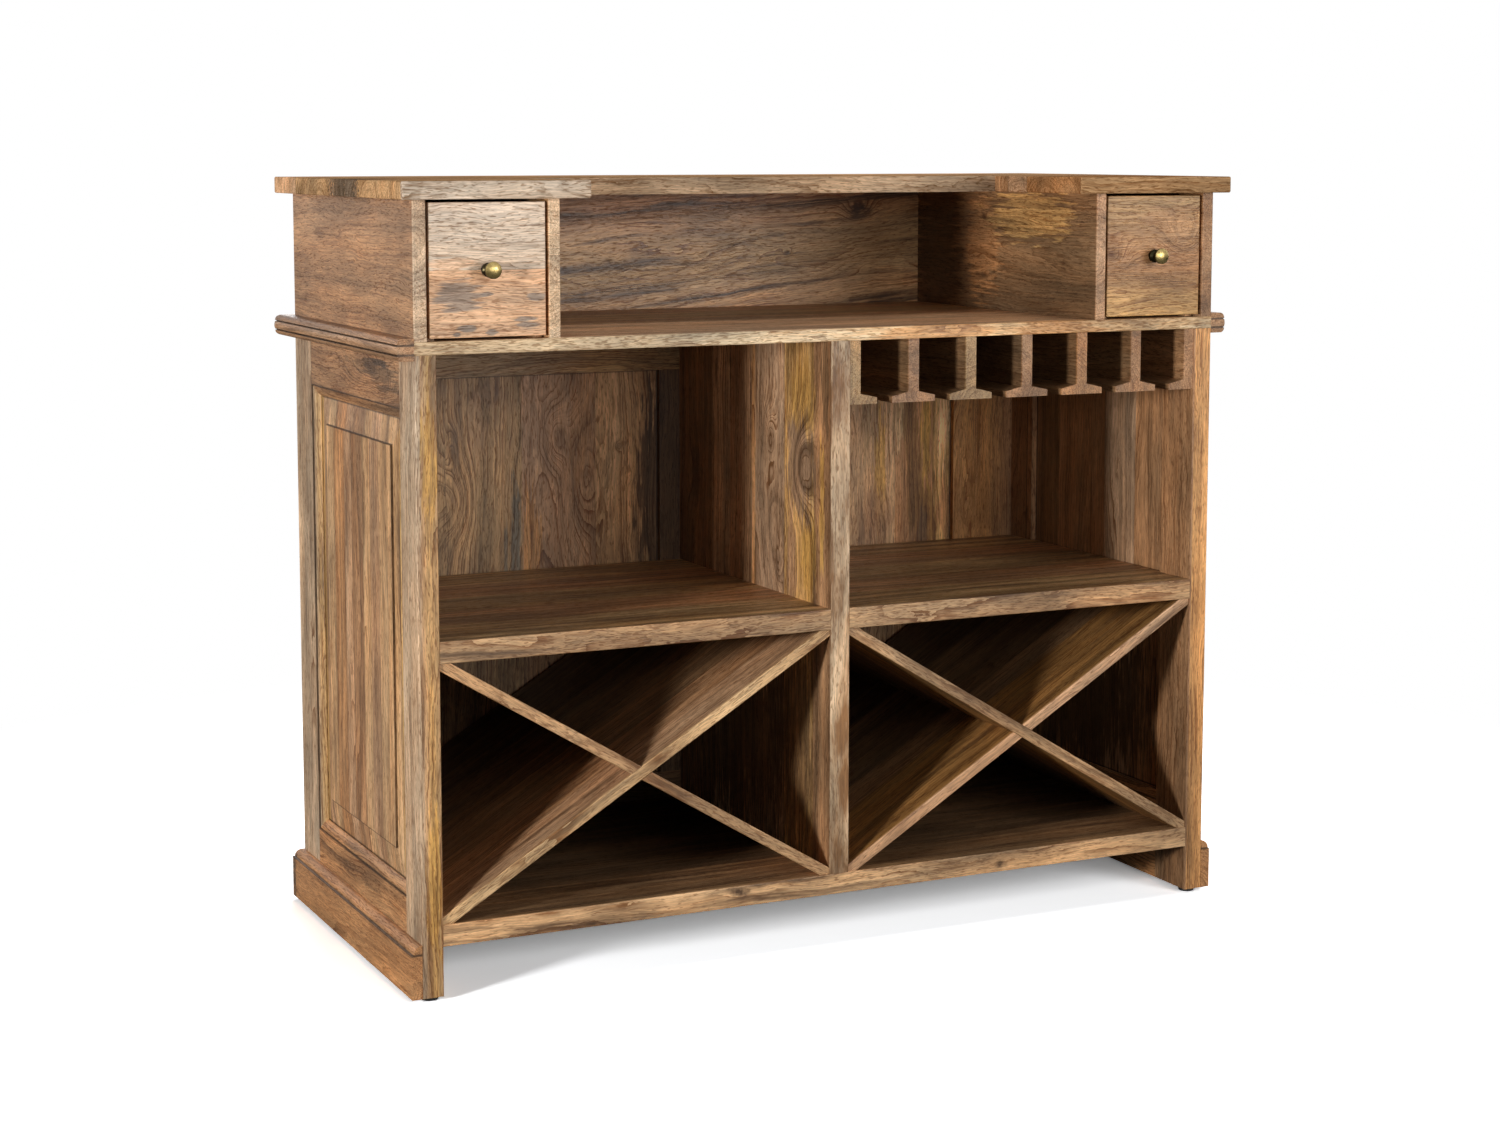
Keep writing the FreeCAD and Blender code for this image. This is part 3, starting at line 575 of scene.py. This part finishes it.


# Side frames, with painted shade along the moulded edges next to their panels

STILE_QUIRK = -0.0325
TOP_RAIL_QUIRK = -0.0302
BOTTOM_RAIL_QUIRK = 0.0548


def side_frames():
    left_post = [
        (0.0, "sand"),
        (0.12, "sand"),
        (0.3, "tan"),
        (0.6, "straw"),
        (0.85, "olive"),
        (1.0, "tan"),
    ]
    stain = [(-0.15, 0.003, 0.10, 0.005, 0.0, 0.5), (-0.30, 0.006, 0.12, 0.005, 0.0, 0.35)]
    post_patches = [
        (0.280, 0.004, 0.090, 0.012, 0.8, "gold"),
        (0.100, 0.006, 0.130, 0.014, 0.8, "olive"),
        (-0.280, 0.004, 0.100, 0.011, 0.7, "gold"),
    ]
    wood("left_front_stile", "Z", "X", left_post, rings=1.3, streaks=0.5, knots=stain,
         patches=post_patches, blended=True)
    right_post = [(0.0, "brown"), (0.04, "brown"), (0.12, "honey")]
    wood("right_front_stile", "Z", "X", right_post, rings=1.2, streaks=0.4, blended=True)
    rear_post = [(0.0, "straw"), (0.16, "sand"), (0.7, "sand")]
    wood("left_rear_stile", "Z", "Y", rear_post, rings=1.2, streaks=0.4, blended=True, quirks=[STILE_QUIRK])
    wood("right_rear_stile", "Z", "Y", fading("brown", "umber"), blended=True, quirks=[STILE_QUIRK])
    swirls = [
        (-0.09, 0.012, 0.05, 0.022, 0.035, 0.35),
        (-0.14, -0.005, 0.04, 0.016, 0.025, 0.5),
        (-0.02, 0.02, 0.06, 0.03, 0.03, 0.0),
    ]
    stains = [
        (-0.12, 0.010, 0.09, 0.012, 0.9, "walnut"),
        (-0.10, 0.024, 0.08, 0.006, 0.9, "ink"),
        (-0.04, 0.020, 0.08, 0.008, 0.7, "umber"),
        (-0.16, -0.008, 0.05, 0.005, 0.8, "walnut"),
    ]
    for side, marks in (("left", stains), ("right", ())):
        wood(f"{side}_top_rail", "Y", "Z", fading("brown", "brown"), rings=1.5, streaks=0.6, knots=swirls,
             patches=marks, blended=True, quirks=[TOP_RAIL_QUIRK])
        wood(f"{side}_bottom_rail", "Y", "Z", fading("clay", "clay"), rings=1.3, streaks=0.6,
             blended=True, quirks=[BOTTOM_RAIL_QUIRK])
    left_staves = [
        (0.0, "straw"),
        (0.07, "tan"),
        (0.17, "tan"),
        (0.26, "fawn"),
        (0.36, "tan"),
        (0.446, "brown"),
        (0.574, "fawn"),
        (0.66, "clay"),
        (0.78, "tan"),
        (0.87, "fawn"),
        (0.945, "straw"),
    ]
    wood("left_panel", "Z", "Y", left_staves, rings=1.1, streaks=0.5, outside=-1, raised=True)
    # The umber stave at the back is partly painted shade, and the bark patch is painted shade over the part
    # inside the lower bin
    right_staves = [(0.0, "brown"), (0.24, "hazel"), (0.46, "brown"), (0.56, "brown"), (0.80, "umber")]
    flames = [(0.20, -0.03, 0.20, 0.03, 0.03, 0.0), (0.12, -0.10, 0.22, 0.03, 0.03, 0.0)]
    painted_bin_shade = [(-0.20, 0.03, 0.16, 0.20, 0.95, "bark")]
    wood("right_panel", "Z", "Y", right_staves, rings=1.1, streaks=0.1, flecks=0.6, knots=flames,
         patches=painted_bin_shade, outside=1, raised=True)


# Back frame

def back_frame():
    wood("left_back_stile", "Z", "X", fading("tan", "brown"), blended=True)
    right_stile = [(0.0, "honey"), (0.5, "honey"), (1.0, "brown")]
    wood("right_back_stile", "Z", "X", right_stile, rings=1.3, streaks=0.3, blended=True)
    # Painted shade: a bark patch over the inner face of the centre stile and the bottom rail, which lie in
    # shade inside the cabinet
    painted_shade_inside = [(0.0, 0.0, 1.0, 0.3, 0.9, "bark")]
    wood("back_centre_stile", "Z", "X", fading("umber", "brown"), patches=painted_shade_inside, blended=True,
         outside=1)
    waves = [(-0.42, 0.02, 0.16, 0.03, 0.025, 0.0), (-0.20, -0.03, 0.18, 0.03, 0.03, 0.0)]
    wood("back_top_rail", "X", "Z", fading("olive", "olive"), rings=1.7, streaks=0.5, knots=waves,
         blended=True)
    wood("back_bottom_rail", "X", "Z", fading("brown", "clay"), patches=painted_shade_inside, blended=True,
         outside=1)
    left_staves = [(0.0, "olive"), (0.20, "olive"), (0.475, "fawn"), (0.745, "tan")]
    left_knots = [
        (0.214, -0.122, 0.035, 0.010, 0.02, 0.5),
        (0.132, -0.130, 0.050, 0.034, 0.05, 0.0),
        (0.223, 0.047, 0.045, 0.020, 0.04, 0.2),
        (0.150, 0.090, 0.10, 0.030, 0.05, 0.0),
        (0.205, 0.150, 0.010, 0.007, 0.012, 0.5),
    ]
    left_patches = [
        (0.298, -0.069, 0.024, 0.030, 0.7, "umber"),
        (0.055, -0.022, 0.100, 0.010, 0.8, "smoke"),
        (0.020, -0.038, 0.070, 0.004, 0.7, "smoke"),
        (0.040, 0.004, 0.110, 0.016, 1.0, "honey"),
        (0.24, 0.085, 0.090, 0.020, 0.6, "clay"),
        (0.24, -0.085, 0.060, 0.016, 0.5, "tan"),
        # Darker at the right edge next to the divider: partly the wood's tone, partly painted shade from
        # the divider
        (0.130, 0.212, 0.170, 0.034, 0.95, "bark"),
        # Painted shade over the lower part, inside the bin
        (-0.220, 0.0, 0.200, 0.400, 0.7, "umber"),
    ]
    wood("left_back_panel", "Z", "X", left_staves, rings=1.4, streaks=0.3, knots=left_knots,
         patches=left_patches, outside=1, raised=True)
    right_staves = [(0.0, "straw"), (0.28, "clay"), (0.56, "tan"), (0.745, "clay"), (0.90, "straw")]
    spalting_and_painted_shade = [
        (0.24, 0.060, 0.09, 0.010, 0.9, "olive"),
        (0.14, 0.085, 0.12, 0.012, 0.9, "gold"),
        (0.06, 0.075, 0.05, 0.030, 0.8, "brown"),
        (0.24, 0.120, 0.08, 0.010, 1.0, "wheat"),
        (0.22, 0.140, 0.10, 0.012, 0.9, "amber"),
        (0.12, 0.150, 0.10, 0.014, 0.8, "amber"),
        (0.06, 0.172, 0.06, 0.026, 1.0, "amber"),
        (0.03, 0.165, 0.05, 0.010, 0.9, "walnut"),
        (0.19, 0.172, 0.08, 0.010, 1.0, "gold"),
        (0.24, 0.205, 0.10, 0.016, 1.0, "wheat"),
        (0.07, 0.206, 0.05, 0.014, 0.9, "clay"),
        # Painted shade over the lower part, inside the bin
        (-0.22, 0.0, 0.20, 0.40, 0.7, "umber"),
    ]
    wood("right_back_panel", "Z", "X", right_staves, rings=1.2, streaks=0.5, patches=spalting_and_painted_shade, outside=1,
         raised=True)


# Shelves, divider and deck

def shelves():
    boards = [(0.0, "olive"), (0.22, "brown"), (0.41, "olive"), (0.62, "brown"), (0.81, "olive")]
    wood_pair("shelf", "X", "Y", boards, rings=1.5, streaks=0.8, lip="tan")
    low_boards = [(0.0, "umber"), (0.22, "walnut"), (0.41, "walnut"), (0.62, "walnut"), (0.81, "walnut")]
    low_knots = [(-0.27, -0.175, 0.20, 0.010, 0.006, 0.7)]
    edge_knots = [
        (-0.160, 0.008, 0.020, 0.009, 0.9),
        (0.270, -0.003, 0.011, 0.008, 0.8),
        (-0.385, -0.010, 0.012, 0.004, 0.7),
    ]
    wood("bottom_shelf", "X", "Y", low_boards, rings=1.3, streaks=0.8, knots=low_knots, lip="tan",
         lip_knots=edge_knots)


def centre_divider():
    staves = [
        (0.0, "brown"),
        (0.105, "straw"),
        (0.285, "hazel"),
        (0.495, "fawn"),
        (0.64, "sand"),
        (0.765, "umber"),
    ]
    knots = [
        (0.195, -0.168, 0.065, 0.044, 0.08, 0.0),
        (0.229, -0.061, 0.040, 0.022, 0.04, 0.0),
        (0.170, -0.041, 0.040, 0.020, 0.04, 0.0),
        (0.097, -0.071, 0.060, 0.026, 0.05, 0.0),
        (0.047, -0.091, 0.030, 0.014, 0.025, 0.5),
        (0.310, 0.073, 0.070, 0.003, 0.0, 0.9),
        (0.290, 0.001, 0.110, 0.003, 0.0, 0.9),
        (0.144, 0.200, 0.060, 0.025, 0.02, 0.7),
    ]
    patches = [
        (0.290, -0.170, 0.070, 0.040, 0.7, "gold"),
        (0.080, -0.190, 0.080, 0.026, 0.8, "gold"),
        (0.330, -0.242, 0.090, 0.014, 0.9, "walnut"),
        (0.195, -0.166, 0.080, 0.052, 1.0, "dusk"),
        (0.060, -0.135, 0.090, 0.016, 0.9, "fawn"),
        (0.100, -0.008, 0.400, 0.007, 0.7, "honey"),
        (0.150, -0.232, 0.100, 0.008, 0.7, "gold"),
        # Painted shade over the lower part of the divider, inside the bins
        (-0.22, -0.150, 0.17, 0.075, 0.8, "umber"),
        (-0.22, 0.05, 0.16, 0.22, 0.9, "walnut"),
    ]
    wood("centre_divider", "Z", "Y", staves, rings=1.5, streaks=0.35, knots=knots, patches=patches,
         lip="oat")


def deck():
    boards = [(0.0, "fawn"), (0.30, "fawn"), (0.55, "olive"), (0.78, "brown")]
    warm_lip = [
        (0.30, -0.277, 0.32, 0.012, 0.9, "wheat"),
        (0.16, -0.277, 0.09, 0.012, 0.8, "honey"),
        (0.35, -0.277, 0.07, 0.012, 0.8, "honey"),
    ]
    wood("deck", "X", "Y", boards, patches=warm_lip, lip="cream")


# Waist moulding and plinth, with painted shade in the quirks of their profiles

WAIST_QUIRKS = [-0.007, 0.006]
PLINTH_QUIRKS = [0.024]


def mouldings():
    waist = [(0.0, "brown"), (0.5, "fawn"), (1.0, "brown")]
    wood_pair("waist_moulding", "Y", "Z", waist, streaks=0.6, blended=True, quirks=WAIST_QUIRKS)
    wood("back_waist_moulding", "X", "Z", fading("fawn", "clay"), blended=True, quirks=WAIST_QUIRKS)
    wood_pair("plinth", "Y", "Z", fading("clay", "clay"), streaks=0.35, blended=True, quirks=PLINTH_QUIRKS)
    dark_end = [(-0.655, 0.0, 0.014, 0.2, 1.0, "bark")]
    wood("back_plinth", "X", "Z", fading("brown", "clay"), patches=dark_end, blended=True,
         quirks=PLINTH_QUIRKS)


# Upper section and bar top

NICHE_GRAIN_TILT = -0.08


def upper_section():
    wood("left_upper_side", "Y", "Z", fading("brown", "brown"), rings=0.9, blended=True, lip="sand")
    wood("right_upper_side", "Y", "Z", fading("fawn", "clay"), rings=0.7, blended=True, lip="brown")
    wood("left_partition", "Y", "Z", fading("tan", "tan"), blended=True, lip="oat")
    marks = [(0.055, 0.054, 0.012, 0.010, 0.012, 0.8), (0.06, -0.04, 0.03, 0.006, 0.01, 0.7)]
    boards = [(0.0, "walnut"), (0.5, "umber"), (1.0, "umber")]
    spots = [
        (0.06, 0.01, 0.055, 0.085, 0.9, "clay"),
        (-0.080, 0.055, 0.115, 0.040, 1.0, "straw"),
        (0.20, 0.0, 0.080, 0.140, 0.9, "bark"),
    ]
    wood("right_partition", "Y", "Z", boards, streaks=0.6, knots=marks, patches=spots, blended=True,
         lip="fawn")
    back_knots = [
        (0.317, 0.036, 0.026, 0.020, 0.03, 1.0),
        (0.182, -0.023, 0.009, 0.006, 0.008, 0.8),
        (0.35, -0.058, 0.09, 0.02, 0.025, 0.0),
        (-0.05, -0.02, 0.18, 0.04, 0.02, 0.0),
    ]
    niche = [(0.0, "tan"), (0.35, "olive"), (1.0, "brown")]
    wood("upper_back", "X", "Z", niche, rings=1.4, streaks=1.0, knots=back_knots, tilt=NICHE_GRAIN_TILT,
         blended=True)


def bar_top():
    left_boards = [(0.0, "tan"), (0.094, "tan"), (0.783, "fawn")]
    left_end = [(-0.137, 0.106, 0.06, 0.038, 1.0, "ash")]
    wood("left_bar_top_wing", "X", "Y", left_boards, mottle=0.5, gloss=0.0, patches=left_end, lip="bone")
    right_boards = [(0.0, "clay"), (0.62, "fawn"), (0.84, "brown")]
    wood("right_bar_top_wing", "X", "Y", right_boards, gloss=0.0, lip="tan")
    rear_boards = [(0.0, "fawn"), (0.205, "tan"), (0.68, "blush")]
    rear_end = [(-0.65, -0.150, 0.06, 0.048, 1.0, "ash")]
    wood("bar_top_rear", "X", "Y", rear_boards, gloss=0.0, patches=rear_end, lip="sand")


# Bottle bins

def bins():
    low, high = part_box("left_bin_board_rear_slotted")
    lean = math.atan2(high.z - low.z, high.x - low.x)
    # Tones darken from the front edge to the back: painted light near the front and painted shade deeper in
    # the bin
    brown_boards_shaded_deep = [(0.0, "fawn"), (0.13, "brown"), (0.25, "umber"), (0.50, "walnut"), (0.68, "bark")]
    amber_boards_shaded_deep = [(0.0, "amber"), (0.13, "amber"), (0.25, "umber"), (0.36, "walnut"), (0.68, "bark")]
    leaning = {
        "left_bin_board_rear_slotted": (brown_boards_shaded_deep, -lean, "wheat"),
        "left_bin_board_front_slotted": (brown_boards_shaded_deep, lean, "tan"),
        "right_bin_board_rear_slotted": (amber_boards_shaded_deep, lean, "tan"),
        "right_bin_board_front_slotted": (amber_boards_shaded_deep, -lean, "fawn"),
    }
    for name, (boards, tilt, lip) in leaning.items():
        wood(name, "X", "Y", boards, rings=1.1, streaks=0.6, tilt=tilt, lip=lip)


# Stemware rack

def rack():
    # The rails' dark umber and walnut tones are partly the wood's own and partly painted shade in the slots
    # between them
    tones = ["umber", "umber", "walnut", "umber", "umber"]
    ends = ["brown", "olive", "brown", "clay", "brown"]
    for number, (tone, end) in enumerate(zip(tones, ends), 1):
        wood(f"rack_rail_{number}", "Y", "X", fading(tone, "walnut"), streaks=0.4, blended=True, lip=end)
    wood("rack_end_left", "Y", "X", fading("brown", "umber"), blended=True, lip="olive")
    wood("rack_end_right", "Y", "X", fading("umber", "brown"), blended=True, lip="brown")


# Drawers

def drawers():
    blotches = [
        (-0.038, -0.033, 0.034, 0.022, 0.85, "slate"),
        (-0.029, -0.077, 0.013, 0.005, 0.9, "slate"),
        (0.005, -0.082, 0.009, 0.005, 0.9, "slate"),
        (0.050, -0.066, 0.016, 0.004, 0.9, "slate"),
        (0.055, -0.074, 0.016, 0.006, 0.9, "slate"),
        (0.068, -0.036, 0.014, 0.007, 0.8, "slate"),
        (-0.002, -0.032, 0.008, 0.003, 0.8, "slate"),
        (-0.044, -0.084, 0.006, 0.003, 0.9, "slate"),
        (-0.055, 0.006, 0.040, 0.012, 0.7, "blush"),
    ]
    wood("left_drawer_front", "X", "Z", [(0.0, "blush"), (0.5, "bone")], rings=0.8, streaks=0.1,
         mottle=0.4, patches=blotches)
    eyes = [(0.055, 0.030, 0.030, 0.030, 0.05, 0.0), (-0.075, -0.002, 0.030, 0.025, 0.04, 0.0)]
    zones = [(-0.070, 0.005, 0.030, 0.030, 0.7, "clay"), (0.03, 0.05, 0.06, 0.03, 0.6, "brown")]
    right_board = [(0.0, "straw"), (0.45, "clay"), (1.0, "olive")]
    wood("right_drawer_front", "X", "Z", right_board, rings=1.2, streaks=0.1, knots=eyes, patches=zones,
         blended=True)
    for part in ("outer_side", "inner_side"):
        wood_pair(f"drawer_{part}", "Y", "Z", fading("tan", "straw"), blended=True)
    wood_pair("drawer_back", "X", "Z", fading("tan", "straw"), blended=True)
    wood_pair("drawer_bottom", "Y", "X", fading("straw", "tan"), blended=True)


# Knobs and foot glides

# Colours in pairs: clean brass and tarnish, for its worn and its dark parts, then plastic and scuffs
BRASS_WORN = (shade(182, 160, 104), shade(136, 114, 70))
# The dark body behind the knob's face is partly tarnish and partly a painted reflection of dark
# surroundings
BRASS_DARK = (shade(58, 52, 34), shade(36, 32, 22))
GLIDE_BLACK = (shade(24, 23, 22), shade(40, 38, 36))
BRASS_ROUGHNESS = (0.26, 0.40)
GLIDE_ROUGHNESS = (0.5, 0.62)
# Spots of tarnish and scuffs: features per metre each way, detail, and the noise they span
TARNISH = ((260.0, 260.0, 260.0), 3.0, (0.35, 0.7))
SCUFFS = ((300.0, 300.0, 300.0), 2.0, (0.4, 0.7))
# How far behind its front a knob is worn, and from where it is dark
WORN_DEPTH = 0.0026
DARK_DEPTH = 0.0034


def spots_of(tree, spacing, detail, levels):
    """Where tarnish or scuffs lie on a piece, from 0 to 1."""
    return tree.spread(tree.noise(tree.spot(), spacing, detail), *levels)


def brass():
    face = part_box("left_drawer_knob")[0].y
    material, tree = new_material("antique_brass")
    shader = tree.nodes["Principled BSDF"]
    tarnish = spots_of(tree, *TARNISH)
    worn = tree.mix(tarnish, *BRASS_WORN)
    dark = tree.mix(tarnish, *BRASS_DARK)
    # Behind the worn face the brass is dark: tarnish and a painted dark reflection
    behind = tree.spread(tree.split(tree.spot())[1], face + WORN_DEPTH, face + DARK_DEPTH)
    tree.feed(shader.inputs["Base Color"], tree.mix(behind, worn, dark))
    tree.feed(shader.inputs["Roughness"], tree.spread(tarnish, 0.0, 1.0, *BRASS_ROUGHNESS))
    shader.inputs["Metallic"].default_value = 1.0
    for side in ("left", "right"):
        pieces[f"{side}_drawer_knob"].data.materials[0] = material


def glides():
    material, tree = new_material("black_glide_plastic")
    shader = tree.nodes["Principled BSDF"]
    scuffs = spots_of(tree, *SCUFFS)
    tree.feed(shader.inputs["Base Color"], tree.mix(scuffs, *GLIDE_BLACK))
    tree.feed(shader.inputs["Roughness"], tree.spread(scuffs, 0.0, 1.0, *GLIDE_ROUGHNESS))
    pieces["foot_glides"].data.materials[0] = material


side_frames()
back_frame()
shelves()
centre_divider()
deck()
mouldings()
upper_section()
bar_top()
bins()
rack()
drawers()
brass()
glides()


# Floor, light and camera

FLOOR_SIZE = 40.0
# The floor's colour in the picture, its colour in the light it throws back, and its own glow in the picture
FLOOR_PAINT = (2.35, 2.38, 2.42, 1.0)
FLOOR_BOUNCE = (0.20, 0.20, 0.20, 1.0)
FLOOR_GLOW = 0.15
# Distances from the object up to which the floor shows its shadow, and from which it is white
SHADOW_REACH = 0.9
WHITE_FROM = 1.9
WORLD_LIGHT = 0.02
MIDDLE = (0.0, 0.0, 0.6)
# Each soft box: its place, its width and height, and its power
SOFT_BOXES = {
    "left": ((-3.84, -1.65, 0.97), (0.5, 0.5), 119.0),
    "front_right": ((1.75, -3.75, 1.33), (1.6, 1.2), 65.0),
    "front": ((0.0, -4.14, 1.33), (1.6, 1.2), 26.0),
    "over": ((0.0, -0.15, 4.80), (1.6, 1.2), 44.0),
    "right": ((4.0, 0.9, 1.8), (1.6, 1.4), 60.0),
    "rear": ((1.2, 3.6, 2.8), (2.4, 2.0), 90.0),
}
CAMERA_PLACE = (-1.741, -3.599, 1.143)
CAMERA_DOWN = 6.25
CAMERA_TURN = -25.69
LENS = 63.96
SENSOR_WIDTH = 36.0
LENS_SHIFT = -0.082


def floor():
    bpy.ops.mesh.primitive_plane_add(size=FLOOR_SIZE)
    ground = bpy.context.object
    ground.name = "studio_floor"
    material, tree = new_material("white_floor")
    tree.nodes.clear()
    seen = tree.add("ShaderNodeLightPath").outputs["Is Camera Ray"]
    spot = tree.vectors("MULTIPLY", tree.spot(), (1.0, 1.0, 0.0))
    far = tree.spread(tree.vectors("LENGTH", spot), SHADOW_REACH, WHITE_FROM)
    paint = tree.add("ShaderNodeBsdfDiffuse")
    tree.feed(paint.inputs["Color"], tree.mix(seen, FLOOR_BOUNCE, FLOOR_PAINT))
    glow = tree.add("ShaderNodeEmission")
    tree.feed(glow.inputs["Strength"], tree.maths("MULTIPLY", seen, FLOOR_GLOW))
    near = tree.add("ShaderNodeAddShader")
    tree.feed(near.inputs[0], paint.outputs[0])
    tree.feed(near.inputs[1], glow.outputs[0])
    white = tree.add("ShaderNodeEmission")
    blend = tree.add("ShaderNodeMixShader")
    tree.feed(blend.inputs[0], tree.maths("MULTIPLY", seen, far))
    tree.feed(blend.inputs[1], near.outputs[0])
    tree.feed(blend.inputs[2], white.outputs[0])
    tree.feed(tree.add("ShaderNodeOutputMaterial").inputs["Surface"], blend.outputs[0])
    ground.data.materials.append(material)


def white_world():
    world = bpy.data.worlds.new("studio")
    world.use_nodes = True
    scene.world = world
    tree = Tree(world.node_tree)
    path = tree.add("ShaderNodeLightPath").outputs
    shown = tree.maths("MAXIMUM", path["Is Camera Ray"], path["Is Glossy Ray"])
    shown = tree.maths("MAXIMUM", shown, path["Is Transmission Ray"])
    tree.feed(tree.nodes["Background"].inputs["Color"], WHITE)
    tree.feed(tree.nodes["Background"].inputs["Strength"], tree.spread(shown, 0.0, 1.0, WORLD_LIGHT, 1.0))


def soft_box(name, place, size, power):
    lamp = bpy.data.lights.new(name, "AREA")
    lamp.shape = "RECTANGLE"
    lamp.size, lamp.size_y = size
    lamp.energy = power
    holder = bpy.data.objects.new(name, lamp)
    holder.location = place
    holder.rotation_euler = (Vector(MIDDLE) - Vector(place)).to_track_quat("-Z", "Y").to_euler()
    scene.collection.objects.link(holder)


def camera():
    lens = bpy.data.cameras.new("photo_view")
    lens.lens = LENS
    lens.sensor_width = SENSOR_WIDTH
    lens.shift_y = LENS_SHIFT
    holder = bpy.data.objects.new("photo_view", lens)
    holder.location = CAMERA_PLACE
    holder.rotation_euler = (math.radians(90 - CAMERA_DOWN), 0.0, math.radians(CAMERA_TURN))
    scene.collection.objects.link(holder)
    scene.camera = holder


floor()
white_world()
for box_name, box_settings in SOFT_BOXES.items():
    soft_box(box_name, *box_settings)
camera()
scene.view_settings.view_transform = "Standard"
